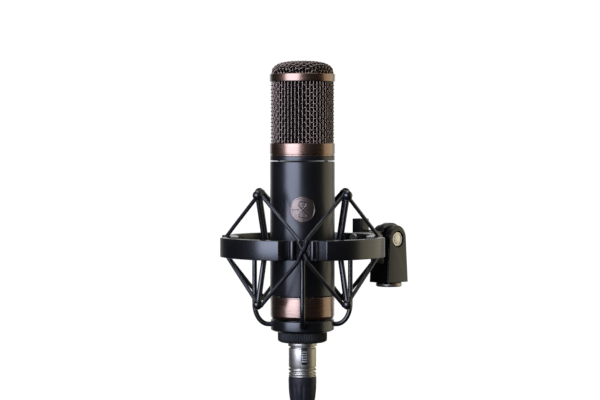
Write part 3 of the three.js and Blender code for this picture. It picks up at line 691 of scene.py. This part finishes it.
def dome_profile():
    """Radius, height and distance along the dome from its top, for the middle of the mesh."""
    angle = np.linspace(math.pi / 2, 0, 400)
    radius = DOME_RADIUS * np.cos(angle) ** (2 / DOME_FULLNESS)
    height = DOME_BOTTOM + DOME_HEIGHT * np.sin(angle) ** (2 / DOME_FULLNESS)
    radius[0] = 0
    along = np.concatenate([[0], np.cumsum(np.hypot(np.diff(radius), np.diff(height)))])
    return radius, height, along


def on_dome(u, v, lift):
    """A point of flat mesh, pressed over the dome and lifted off it along the dome's normal."""
    radius, height, along = dome_profile()
    distance = np.hypot(u, v)
    turn = np.arctan2(v, u)
    r, z = np.interp(distance, along, radius), np.interp(distance, along, height)
    slope_r = np.interp(distance, along, np.gradient(radius, along))
    slope_z = np.interp(distance, along, np.gradient(height, along))
    r, z = r - lift * slope_z, z + lift * slope_r
    return round_axis(r, turn, z)


def dome_wires():
    """A flat plain weave pressed over the dome, its wires cut off at the rim."""
    pitch, wave, wire, shortest = 2.72, 0.38, 0.4, 1.2
    reach = dome_profile()[2][-1]
    most = int((reach - shortest) / pitch)
    routes = []
    for i in range(-most, most + 1):
        fixed = i * pitch
        half = math.sqrt(reach**2 - fixed**2)
        travel = np.linspace(-half, half, max(int(half * 3), 8))
        level = wave * np.cos(math.pi * (travel / pitch + i))
        routes.append(on_dome(np.full(len(travel), fixed), travel, level))
        routes.append(on_dome(travel, np.full(len(travel), fixed), -level))
    made = joined("dome_weave", *[tubes(f"wire_{k}", [route], wire, 8) for k, route in enumerate(routes)])
    return finish_piece(made, "microphone", "woven_bronze", "grille_dome")


def band_outline(radius, bore, bottom, top, corner):
    foot, head = [(bore, bottom, 0.2), (radius, bottom)], [(radius, top), (bore, top, 0.2)]
    return rounded(foot + head, corner, 5)


def inner_screen():
    """The fine screen behind the grille: a tube that closes over the ribbon motor below the dome."""
    tube, foot, shoulder, shrink, gap = 22.6, 109.2, 168.0, 0.955, 1.3
    radius, height, _ = dome_profile()
    over = [(float(r) * shrink, float(z) - gap) for r, z in zip(radius[::12], height[::12])]
    outline = [(tube - 0.6, foot), (tube, foot), (tube, shoulder), *over[::-1]]
    made = solid_lathe("screen", outline, 96, (AXIS_X, AXIS_Y, 0))
    return finish_piece(made, "microphone", "fine_screen", "inner_screen")


def head():
    grille_wires()
    dome_wires()
    inner_screen()
    top_band = band_outline(25.3, 22.9, 163.5, 169.7, 0.7)
    about_axis("top_band", top_band, "brushed_copper", "grille_top_band")
    base = rounded([
        (22.9, 106.4), (25.0, 106.4, 0.3), (25.0, 107.2, 0.1), (24.7, 107.45, 0.1), (24.7, 107.8, 0.1),
        (25.2, 108.1, 0.2), (25.2, 116.5, 0.6), (22.9, 116.5, 0.2),
    ], 0.2)
    about_axis("base_band", base, "brushed_copper", "grille_base_band")
    about_axis("collar_ring", band_outline(24.9, 20.6, 103.0, 106.3, 0.35), "satin_body", "head_collar")


def figure_eight(size, slimness=0.465, steps=64):
    """A closed figure-of-eight line, the pickup pattern of a ribbon microphone."""
    t = np.arange(steps) * TURN / steps
    return np.column_stack([size * slimness * np.sin(2 * t), size * np.sin(t)])


def badge():
    """A round etched badge that follows the body, with the pickup pattern raised on it."""
    level, radius, steps = 66.0, 25.0, 72
    # Its section from the middle out and round to the back, as [radius, height off the body].
    section = [
        (0.01, 0.55), (2, 0.55), (4, 0.55), (6, 0.55), (8, 0.55), (9, 0.55),
        (9.2, 0.75), (9.7, 0.75), (9.95, 0.6), (10, 0.25), (10, 0.05),
    ]

    def wrapped(points):
        turn = points[:, 0] / (radius + 0.4) - math.pi / 2
        return round_axis(radius + points[:, 2], turn, level + points[:, 1])

    angles = np.arange(steps) * TURN / steps
    points = [[r * math.cos(a), r * math.sin(a), lift] for r, lift in section for a in angles]
    faces = [face[::-1] for face in grid_faces(len(section), steps, False, True)]
    back = (len(section) - 1) * steps
    faces += [tuple(range(steps)), tuple(range(back, back + steps))[::-1]]
    plate = mesh_piece("badge_plate", wrapped(np.array(points)), faces)
    line = figure_eight(6.2)
    pattern = wrapped(np.column_stack([line, np.full(len(line), 0.6)]))
    axis = [wrapped(np.array([[0, s * 7.9, 0.58], [0, s * 7.2, 0.58]])) for s in (-1, 1)]
    cross = [wrapped(np.array([[s * 7.9, 0, 0.58], [s * 2.6, 0, 0.58]])) for s in (-1, 1)]
    lines = tubes("badge_lines", [pattern], 0.34, 6, closed=True)
    ticks = tubes("badge_ticks", [smooth_route(route, 4) for route in axis + cross], 0.24, 6)
    made = joined("badge_round", plate, lines, ticks)
    return finish_piece(made, "microphone", "badge_copper", "badge")


def body():
    outline = rounded([
        (23.4, -0.7, 0.1), (24.95, -0.7, 0.35), (24.95, 102.2, 0.45), (23.4, 102.2, 0.1),
    ], 0.3, 5)
    about_axis("body_shell", outline, "satin_body", "body_tube", segments=160)
    badge()
    sleeve = rounded([
        (23.25, -1.3, 0.1), (24.85, -1.3, 0.2), (24.85, -1.85, 0.1), (24.3, -1.95, 0.08),
        (24.3, -2.45, 0.08), (24.8, -2.6, 0.15), (24.8, -16.4, 1.0), (24.3, -18.2, 0.8), (23.2, -19.0, 0.5),
        (17.9, -19.0, 0.2), (17.9, -17.4, 0.2), (21.6, -16.6, 0.5), (23.25, -13.0, 0.5),
    ], 0.3, 5)
    about_axis("sleeve", sleeve, "brushed_copper", "base_sleeve")


# ---------------------------------------------------------------- cradle


def corner_turn(i):
    return ARM_ANGLE + i * math.pi / 2


def around_axis(points, turn):
    """Points given outward, sideways and up, turned about the microphone's axis."""
    points = np.asarray(points, float)
    x = points[:, 0] * math.cos(turn) - points[:, 1] * math.sin(turn)
    y = points[:, 0] * math.sin(turn) + points[:, 1] * math.cos(turn)
    return np.column_stack([AXIS_X + x, AXIS_Y + y, points[:, 2]])


CORNERS = ["back_right", "back_left", "front_left", "front_right"]
SIDES = ["right", "back", "left", "front"]
TIP_RADIUS, TIP_TOP, TIP_BOTTOM, TIP_INSET = 48.0, 77.1, -5.5, 2.6
ROD, BALL, GROOVE = 1.9, 3.8, 1.55


def ball_with_groove(centre_z, turn, up):
    """The ball on a post's tip, with the groove that the elastic sits in behind its middle."""
    segments, rings, hollow, slope, edge = 48, 36, 1.35, 0.8, -0.6
    tilts = np.linspace(-math.pi / 2, math.pi / 2, rings + 1)
    lift, spin = np.meshgrid(tilts, np.arange(segments) * TURN / segments)
    points = BALL * np.stack([np.cos(lift) * np.cos(spin), np.cos(lift) * np.sin(spin), np.sin(lift)], -1)
    points = points.transpose(1, 0, 2).reshape(-1, 3)
    off = np.clip(np.abs(points[:, 0] + TIP_INSET), 0, GROOVE) / GROOVE
    floor_radius = hollow - slope * np.sqrt(1 - off**2) + off**8 * BALL
    reach = np.hypot(points[:, 1], points[:, 2])
    inside = (off < 1) & ((points[:, 2] > edge) == up) & (reach > floor_radius)
    points[inside, 1:] *= (floor_radius[inside] / reach[inside])[:, None]
    made = mesh_piece("ball", around_axis(points + [TIP_RADIUS, 0, centre_z], turn),
                      grid_faces(rings + 1, segments, False, True), 80)
    mend(made.data)
    return made


POST_LINE = [
    (TIP_RADIUS, 0, TIP_BOTTOM), (44.4, 0, 13.2), (41.0, 0, 30.8), (40.2, 0, 37),
    (41.0, 0, 43.2), (44.4, 0, 59.8), (TIP_RADIUS, 0, TIP_TOP),
]


def cradle_posts():
    for i, corner in enumerate(CORNERS):
        turn = corner_turn(i)
        line = smooth_route(POST_LINE, 8)
        bar = tubes("bar", [around_axis(line, turn)], ROD, 18)
        balls = [ball_with_groove(TIP_TOP, turn, True), ball_with_groove(TIP_BOTTOM, turn, False)]
        made = joined(f"post_{corner}", bar, *balls)
        finish_piece(made, "microphone", "wire_black", f"cradle_post_{corner}")


def cradle_arms():
    start, reach, z, rise, top, straight = 23.6, 37.0, -23.5, 16.0, 35.0, 2.8
    bend = reach - start - straight
    curve = []
    for angle in np.linspace(0, math.pi / 2, 14):
        out, up = bend * math.sin(angle), rise * (1 - math.cos(angle))
        curve.append((start + straight + out, 0, z + up))
    line = np.array([(start, 0, z), (start + straight / 2, 0, z), *curve, (reach, 0, 8), (reach, 0, top)])
    for i, side in enumerate(SIDES):
        made = tubes(f"arm_{side}", [around_axis(line, i * math.pi / 2)], ROD, 18)
        finish_piece(made, "microphone", "wire_black", f"cradle_arm_{side}")


def knurl(depth, teeth, inside):
    def bump(outline, angles):
        wave = (1 - np.cos(angles * teeth)) / 2
        return np.where(inside(outline), -depth, 0.0)[:, None] * wave[None]
    return bump


def cradle():
    collar = rounded([
        (13.4, -28.6, 0.3), (22.6, -28.6, 0.8), (24.6, -27.5, 0.9), (24.6, -20.2, 0.5),
        (23.8, -19.5, 0.4), (19.2, -19.5, 0.3), (18.6, -19.9, 0.2), (13.4, -19.9, 0.2),
    ], 0.4, 5)
    about_axis("collar", collar, "mount_black", "cradle_collar")
    nut = [
        (13.4, -37.2, 0.2), (17.4, -37.2, 0.9), (18.9, -36.2, 0.6), (19.1, -34.9, 0.3),
        (19.1, -29.6, 0.3), (18.7, -29.0, 0.3), (13.4, -28.9, 0.2),
    ]
    ridges = knurl(0.4, 90, lambda line: (line[:, 0] > 18.8) & (line[:, 1] < -29.5))
    nut = rounded(nut, 0.3, 5)
    about_axis("knurled_nut", nut, "knurled_black", "clamp_nut", "nut", 540, ridges, 50)
    hoop = rounded([(35, 34.5), (43, 34.5), (43, 39.5), (35, 39.5)], 0.9, 5)
    about_axis("hoop", hoop, "mount_black", "cradle_hoop")
    cradle_posts()
    cradle_arms()


# ---------------------------------------------------------------- suspension

RING_INNER, RING_OUTER, RING_BOTTOM, RING_TOP = 59.5, 65.5, 29.5, 44.5


def turned_point(sideways, outward, turn):
    return (
        outward * math.cos(turn) - sideways * math.sin(turn),
        outward * math.sin(turn) + sideways * math.cos(turn),
    )


def ring_outline(side, radius, corners):
    """The ring's outline with a hook at each side; side runs from a hook's shoulder to its middle."""
    half = math.atan2(side[0][0], side[0][1])
    one = [(-s, o) for s, o in side] + side[::-1]
    points = []
    for i in range(4):
        turn = i * math.pi / 2
        points += [(*turned_point(s, o, turn), r) for (s, o), r in zip(one, corners + corners[::-1])]
        sweep = arc(0, 0, radius, turn + half, turn + math.pi / 2 - half, 30)[1:-1]
        points += [(x, y, 0) for x, y in sweep]
    return rounded(points, 0, 4) + np.array([AXIS_X, AXIS_Y])


def outer_ring():
    """The ring, which dips inward at each side to the hook that the elastics run over."""
    outside, inside = 18, 19.5
    outer = [
        (outside, math.sqrt(RING_OUTER**2 - outside**2)), (10.4, 56.9), (9.8, 59.4), (8.8, 61),
        (7.4, 61.3), (6.1, 60.5), (5.4, 58.8), (5.4, 55.8),
    ]
    inner = [(inside, math.sqrt(RING_INNER**2 - inside**2)), (12, 51), (6, 49.6)]
    made = slab(
        "ring",
        ring_outline(outer, RING_OUTER, [0.9, 0.6, 0.6, 0.9, 1.0, 0.9, 0.6, 0.5]),
        [ring_outline(inner, RING_INNER, [3.0, 2.0, 2.0])],
        RING_BOTTOM, RING_TOP, 0.7, 4,
    )
    return finish_piece(made, "mount", "mount_black", "outer_ring")


ELASTIC = 1.5


def over_tip(corner, up):
    sign, z = (1, TIP_TOP) if up else (-1, TIP_BOTTOM)
    path = [(-4.2, -2), (-2.6, -0.1), (-1.3, 0.9), (0, 1.2), (1.3, 0.9), (2.6, -0.1), (4.2, -2)]
    points = []
    for sideways, rise in path:
        x, y = turned_point(sideways, TIP_RADIUS - TIP_INSET, corner_turn(corner))
        points.append((AXIS_X + x, AXIS_Y + y, z + sign * rise))
    return points


HOOK_PATH = [(0, 58.1, 0, 1), (1.6, 58.1, 3.4, 0.6), (3.2, 58.0, 6.8, 0), (4.3, 56.9, 9.6, 0)]


def over_hook(side, lift, up, ahead):
    """The elastic from a hook's middle towards the next post, or back towards the one before it."""
    points = []
    for sideways, outward, rise, share in HOOK_PATH:
        x, y = turned_point(sideways if ahead else -sideways, outward + share * lift, side * math.pi / 2)
        points.append((AXIS_X + x, AXIS_Y + y, PIVOT_Z + (rise if up else -rise)))
    return points


def elastic_strand(corner, up, lift):
    """From the middle of the hook before a corner, over its tip, to the middle of the hook after it."""
    before = over_hook(corner % 4, lift, up, True)
    after = over_hook((corner + 1) % 4, lift, up, False)[::-1]
    tip = over_tip(corner, up)
    points = np.array(before + tip + after)
    route = smooth_route(points, 5)
    steps = np.concatenate([[0], np.cumsum(np.linalg.norm(np.diff(route, axis=0), axis=1))])
    even = np.linspace(0, steps[-1], 110)
    return np.column_stack([np.interp(even, steps, route[:, k]) for k in range(3)])


def elastics():
    for loop in (0, 1):
        lift = 0 if loop == 0 else 3.4
        for up in (True, False):
            corners = [i for i in range(4) if ((i + loop) % 2 == 0) == up]
            name = f"elastic_{loop + 1}_{'upper' if up else 'lower'}"
            made = tubes(name, [elastic_strand(i, up, lift) for i in corners], ELASTIC, 14)
            made.data.materials.append(MATERIALS["elastic_cord"])
            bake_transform(made)
            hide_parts(f"elastic_loop_{loop + 1}")


# ---------------------------------------------------------------- swivel
# Here x runs along the arm, away from the microphone, y along the pivot bolt, and the stand's axis is 0.


def on_swivel(points):
    """From the swivel's own directions to the row frame."""
    points = np.asarray(points, float)
    c, s = math.cos(ARM_ANGLE), math.sin(ARM_ANGLE)
    x, y = c * points[:, 0] - s * points[:, 1], s * points[:, 0] + c * points[:, 1]
    return np.column_stack([x, y, points[:, 2]])


def upright(points):
    """A plate drawn as [along the arm, up] and as thick as the third number, stood across the arm."""
    return on_swivel(np.column_stack([points[:, 0], -points[:, 2], points[:, 1]]))


def plate(name, outline, half, bevel):
    """A plate across the arm, as far to both sides of its middle as half."""
    return slab(name, outline, [], -half, half, bevel, place=upright)


def bolt_disc(name, radius, start, end, bevel=0.3, steps=40):
    return slab(name, circle(radius, steps, 0, AXLE_Z), [], -end, -start, bevel, place=upright)


def mount_arm():
    half = math.asin(10 / RING_OUTER)
    back = arc(-99, 0, RING_OUTER + 0.1, half, -half, 12)
    plan = [(x, y, 0) for x, y in back] + [(-19.5, -10, 1.4), (-19.5, 10, 1.4)]
    block = slab("block", rounded(plan, 0, 4), [], RING_BOTTOM, RING_TOP, 0.8, place=on_swivel)
    face = [(-21.5, AXLE_Z - 6.5), (-11, AXLE_Z - 6.5)]
    face += [tuple(p) for p in arc(0, AXLE_Z, 13, -2.618, 2.618, 48)]
    face += [(-11.2, AXLE_Z + 6.5), (-21.5, AXLE_Z + 6.5)]
    tongue = plate("tongue", face, 3.5, 0.6)
    low, high = AXLE_Z - 6.2, AXLE_Z + 5.0
    step = rounded([(-21, low), (-17.3, low, 1.5), (-17.3, high, 1.5), (-21, high)], 0)
    cheek = plate("cheek", step, 6.2, 0.7)
    made = joined("arm", block, tongue, cheek)
    return finish_piece(made, "mount", "mount_black", "mount_arm")


def yoke():
    top = [(10.1 * x, AXLE_Z + 11.1 * z, 0) for x, z in arc(0, 0, 1, 0, math.pi, 40)]
    outline = rounded([(-12.5, 3.5, 0.4), (12.5, 3.5, 0.4), *top], 0.4, 4)
    base = slab("base", outline, [], -10, 10, 0.9, 4, place=upright)
    gap = rounded([(-30, 19, 0), (30, 19, 0), (30, 70, 0), (-30, 70, 0)], 0)
    slot = slab("slot", gap, [], -4.95, 4.95, 0.01, 1, place=upright)
    recess = bolt_disc("recess", 6.8, -20, -7.1, 0.01)
    bore = bolt_disc("bore", 3.35, -30, 30, 0.01)
    socket = solid_lathe("socket", [(7.95, -5), (7.95, 15)], 48)
    made = carve(base, [slot, recess, bore, socket])
    made.name = "yoke_body"
    bevel = made.modifiers.new("edges", "BEVEL")
    bevel.width = 0.4 * MM
    bevel.segments = 3
    bevel.limit_method = "ANGLE"
    bevel.angle_limit = math.radians(50)
    bevel.harden_normals = False
    return finish_piece(made, "yoke", "swivel_black", "yoke")


def pivot_bolt():
    """A flat round head with a groove turned in its face, and its shank."""
    base = bolt_disc("bolt_base", 5.6, -9.0, -7.4, 0.3, 56)
    edge, groove = circle(5.6, 56, 0, AXLE_Z), circle(4.5, 56, 0, AXLE_Z)
    rim = slab("bolt_rim", edge, [groove], 8.8, 9.3, 0.15, 2, place=upright)
    centre = bolt_disc("bolt_centre", 3.7, -9.3, -8.8, 0.15, 48)
    shank = bolt_disc("shank", 3.0, -8.0, 20, 0.3, 28)
    made = joined("bolt", base, rim, centre, shank)
    return finish_piece(made, "yoke", "steel_part", "pivot_bolt")


def lock_lever():
    hub = bolt_disc("hub", 6.5, 10.5, 27, 0.8, 40)
    half, reach = 4.7, 15.4
    low, high = AXLE_Z - reach, AXLE_Z + reach
    corners = [(-half, low), (half, low), (half, high), (-half, high)]
    bar = slab("bar", rounded(corners, 1.1, 5), [], -36.5, -26, 0.8, place=upright)
    made = joined("lever_handle", hub, bar)
    return finish_piece(made, "lever", "swivel_black", "lock_lever")


def thread_adapter():
    outline = rounded([
        (4.9, 0.0, 0.3), (9.9, 0.0, 0.5), (10.5, 0.8, 0.5), (10.5, 2.5, 0.5), (9.9, 3.2, 0.4),
        (7.6, 3.2, 0.1), (7.6, 13.5, 0.3), (4.9, 13.5, 0.3),
    ], 0.3, 4)
    made = lathe("adapter", outline, 96)
    return finish_piece(made, "yoke", "nickel", "thread_adapter")


def swivel():
    outer_ring()
    mount_arm()
    yoke()
    pivot_bolt()
    lock_lever()
    thread_adapter()


# ---------------------------------------------------------------- plug and lead


def plug_shell():
    profile = [
        (7.2, -20.2, 0.2), (8.1, -20.2, 0.3), (8.1, -36.6, 0), (11.1, -36.8, 0.3), (11.1, -40.4, 0.25),
        (9.5, -40.6, 0.1), (9.5, -41.7, 0.1), (10.6, -42.0, 0.3), (10.6, -56.7, 0.3),
        (9.5, -57.0, 0.1), (9.5, -57.9, 0.1), (10.75, -58.2, 0.3), (10.75, -59.3, 0.3), (9.4, -59.6, 0.1),
        (9.4, -60.7, 0.1), (10.6, -61.0, 0.3), (10.6, -62.3, 0.3), (9.8, -62.6, 0.1), (9.8, -63.1, 0.1),
        (10.7, -63.3, 0.2), (10.7, -64.1, 0.3), (7.2, -64.1, 0.2),
    ]
    made = lathe("plug_body", rounded(profile, 0.2, 3), 112, (AXIS_X, AXIS_Y, 0))
    hole = rounded([(-2.5, -54.0), (2.5, -54.0), (2.5, -41.2), (-2.5, -41.2)], 0.6)
    window = slab("window", hole, [], 6, 14, 0.01, 1, place=latch_place)
    made = carve(made, [window])
    return finish_piece(made, "plug", "nickel", "plug_shell")


LATCH_TURN = math.radians(8.5)


def latch_place(points):
    """A plate drawn as [sideways, up] and as far out as the third number, on the plug's latch side."""
    c, s = math.cos(LATCH_TURN), math.sin(LATCH_TURN)
    across, up, out = points[:, 0], points[:, 1], points[:, 2]
    return np.column_stack([AXIS_X + c * across + s * out, AXIS_Y + s * across - c * out, up])


def latch():
    """The release tab in the plug's window, with ribs for the thumb."""
    outline = rounded([(-2.1, -53.0), (2.1, -53.0), (2.1, -41.9), (-2.1, -41.9)], 0.5)
    tab = slab("latch_tab", outline, [], 8.3, 10.0, 0.3, 2, place=latch_place)
    finish_piece(tab, "latch", "insulator_black", "latch_button")
    ribs = []
    for z in np.arange(-51.6, -44.0, 1.85):
        outline = rounded([(-2.0, z - 0.5), (2.0, z - 0.5), (2.0, z + 0.5), (-2.0, z + 0.5)], 0.3)
        ribs.append(slab("rib", outline, [], 9.8, 11.25, 0.3, place=latch_place))
    finish_piece(joined("latch_ribs", *ribs), "latch", "steel_part", "latch_button")


def flutes(depth, count, top, bottom):
    """Grooves down a boot that fade out at its two ends."""
    def bump(outline, angles):
        z = outline[:, 1]
        fade = np.clip((top - z) / 2.5, 0, 1) * np.clip((z - bottom) / 4, 0, 1)
        wave = np.clip(np.cos(angles * count), 0, 1) ** 0.6
        return -depth * fade[:, None] * wave[None]
    return bump


def plug_boot():
    """The rubber boot under the plug, with flutes that fade out towards its ends."""
    top = -64.4
    tip = [(3.4, BOOT_BOTTOM), (3.9, BOOT_BOTTOM), (4.4, BOOT_BOTTOM + 0.5)]
    swell = [(5.6, -96.5), (7.6, -91), (9.6, -83), (10.6, -75.5), (10.85, -68)]
    rings = smooth_profile([*tip, *swell, (10.75, top - 0.5), (10.4, top)], 6)
    fluted = flutes(0.5, 12, -69, -94)
    made = solid_lathe("boot", rings, 144, (AXIS_X, AXIS_Y, 0), fluted, 50)
    return finish_piece(made, "plug", "boot_rubber", "plug_boot")


def far_plug():
    """The male plug at the lead's far end, hanging beside the coil."""
    x, y = COIL[0] + TAIL_X, COIL[1]
    top = COIL[2] + FAR_BOOT_TOP
    shell_top = top - 20.3
    boot = [
        (3.3, top), (3.9, top - 0.2), (4.2, top - 2), (5.2, top - 8),
        (7.2, top - 14), (8.5, top - 18), (8.5, top - 20),
    ]
    ridged = flutes(0.45, 10, top - 3, top - 18.5)
    boot_piece = solid_lathe("far_boot", smooth_profile(boot[::-1]), 96, (x, y, 0), ridged, 50)
    finish_piece(boot_piece, "plug", "boot_rubber", "far_plug_boot")
    profile = [
        (6.2, 0, 0.2), (9.0, 0, 0.3), (9.6, -0.8, 0.3), (9.6, -3.0, 0.2), (9.2, -3.3, 0.1),
        (9.2, -3.9, 0.1), (9.6, -4.2, 0.2), (9.6, -20, 0.3), (9.3, -20.4, 0.1), (9.3, -21.2, 0.1),
        (9.6, -21.6, 0.2), (9.6, -42.6, 0.3), (9.3, -43, 0.2), (8.3, -43, 0.2), (8.0, -42.4, 0.2),
        (8.0, -19.7, 0), (6.2, -19.7, 0),
    ]
    outline = rounded([(r, shell_top + z, c) for r, z, c in profile], 0.2, 3)
    shell = lathe("far_shell", outline, 96, (x, y, 0))
    finish_piece(shell, "plug", "nickel", "far_plug_shell")
    floor = shell_top - 24
    disc = solid_lathe("far_floor", [(7.7, floor), (7.7, floor + 4)], 48, (x, y, 0))
    finish_piece(disc, "plug", "insulator_black", "far_plug_insert")
    pins = []
    for turn in (0.25, 0.75, 1.5):
        px, py = x + 3.9 * math.cos(turn * math.pi), y + 3.9 * math.sin(turn * math.pi)
        outline = [(0.35, floor - 13), (0.85, floor - 12.7), (1.2, floor - 12), (1.2, floor - 0.0)]
        pins.append(solid_lathe("pin", outline, 24, (px, py, 0)))
    pins = joined("far_pins", *pins)
    finish_piece(pins, "plug", "contact_metal", "far_plug_insert")
    return [boot_piece, shell, disc, pins]


def smooth_profile(points, steps=5):
    return smooth_route(np.array([(r, z, 0) for r, z in points]), steps)[:, :2]


def strap():
    """The tie round the coil's bundle of turns: a flat strap."""
    turn = 1.02
    outward = np.array([math.cos(turn), 0, math.sin(turn)])
    middle_point = COIL_RADIUS * outward + COIL
    along_axis = np.array([0, 1.0, 0])
    travel = np.cross(outward, along_axis)
    corners = []
    for angle in np.linspace(0, TURN, 73)[:-1]:
        direction = np.array([math.cos(angle), math.sin(angle)])
        reach = max(np.dot(direction, place) for place in PLACES) + CABLE_RADIUS
        corners.append((angle, reach))
    hull = []
    for (a0, d0), (a1, d1) in zip(corners, corners[1:] + corners[:1]):
        system = np.array([[math.cos(a0), math.sin(a0)], [math.cos(a1), math.sin(a1)]])
        hull.append(np.linalg.solve(system, [d0, d1]))
    outer = rounded([tuple(p) for p in hull], 1.5, 3)

    def place(points):
        return middle_point + points @ np.stack([outward, along_axis, travel])

    wide, thick = 10.0, 1.1
    outside = anticlockwise(outer)
    grown_out, hole = outside - thick * inward(outside), outside - 0.02 * inward(outside)
    made = slab("strap", grown_out, [hole], -wide / 2, wide / 2, 0.3, 2, place=place)
    return finish_piece(made, "plug", "tie_strap", "cable_tie")


def lead_pieces():
    plug_shell()
    latch()
    plug_boot()
    finish_piece(lead, "plug", "cable_jacket", "lead_cable", "lead_coil", "lead_tail")
    far = far_plug()
    tie = strap()


# ---------------------------------------------------------------- studio


def area_light(name, azimuth, height, distance, width, tall, color, power):
    """A soft panel aimed at the microphone. Azimuth is from the camera's side, positive to the right."""
    data = bpy.data.lights.new(name, "AREA")
    data.shape = "RECTANGLE"
    data.size, data.size_y = width, tall
    data.color = color
    data.energy = power
    light = bpy.data.objects.new(name, data)
    turn = math.radians(azimuth)
    centre = Vector((AXIS_X * MM, AXIS_Y * MM, 0.07))
    light.location = centre + Vector((math.sin(turn) * distance, -math.cos(turn) * distance, height))
    light.rotation_euler = (centre - light.location).to_track_quat("-Z", "Y").to_euler()
    light.visible_camera = False
    bpy.context.scene.collection.objects.link(light)


def world():
    """White behind the object, and a dim, warm room in front of it that is darker below."""
    made = bpy.data.worlds.new("studio")
    bpy.context.scene.world = made
    made.use_nodes = True
    nodes, links = made.node_tree.nodes, made.node_tree.links
    direction = nodes.new("ShaderNodeTexCoord").outputs["Generated"]
    parts = nodes.new("ShaderNodeSeparateXYZ")
    links.new(direction, parts.inputs[0])

    def ramp(value, low, dark, high, light):
        made_ramp = nodes.new("ShaderNodeValToRGB")
        links.new(value, made_ramp.inputs[0])
        first, last = made_ramp.color_ramp.elements
        first.position, first.color = low, (*dark, 1)
        last.position, last.color = high, (*light, 1)
        return made_ramp.outputs[0]

    def mixed(share, first, second):
        mix = nodes.new("ShaderNodeMix")
        mix.data_type = "RGBA"
        for socket, value in zip((0, 6, 7), (share, first, second)):
            if isinstance(value, tuple):
                mix.inputs[socket].default_value = value
            else:
                links.new(value, mix.inputs[socket])
        return mix.outputs[2]

    room = ramp(parts.outputs[2], 0.0, (0.014, 0.014, 0.015), 0.2, (0.06, 0.05, 0.044))
    behind = ramp(parts.outputs[1], 0.72, (0, 0, 0), 0.93, (1, 1, 1))
    seen = nodes.new("ShaderNodeLightPath").outputs["Is Camera Ray"]
    color = mixed(seen, mixed(behind, room, (1, 1, 1, 1)), (1, 1, 1, 1))
    background = nodes["Background"]
    links.new(color, background.inputs[0])
    background.inputs[1].default_value = 1.05


def floor():
    radius, level, steps = 2200, -520.0, 96
    points = np.column_stack([circle(radius, steps), np.full(steps, level)])
    made = mesh_piece("floor", points, [tuple(range(steps))])
    surface = Surface("floor", (0.86, 0.86, 0.85), 0.6)
    surface.bump(surface.noise(400), 0.05)
    surface.set(surface.shader, "Emission Color", (0.93, 0.93, 0.94, 1.0))
    surface.set(surface.shader, "Emission Strength", 0.85)
    made.data.materials.append(surface.material)
    made.visible_glossy = False
    made.visible_diffuse = False


def studio():
    bpy.context.scene.view_settings.view_transform = "Standard"
    world()
    floor()
    area_light("key", -36, 0.33, 1.7, 1.62, 1.35, (0.68, 0.75, 1.0), 72)
    area_light("fill", 107, 0.2, 1.5, 1.5, 1.7, (1.0, 0.91, 0.68), 12.5)
    area_light("overhead", 180, 1.5, 0.25, 1.0, 1.0, (0.85, 0.9, 1.0), 16)


head()
body()
cradle()
elastics()
swivel()
lead_pieces()
studio()
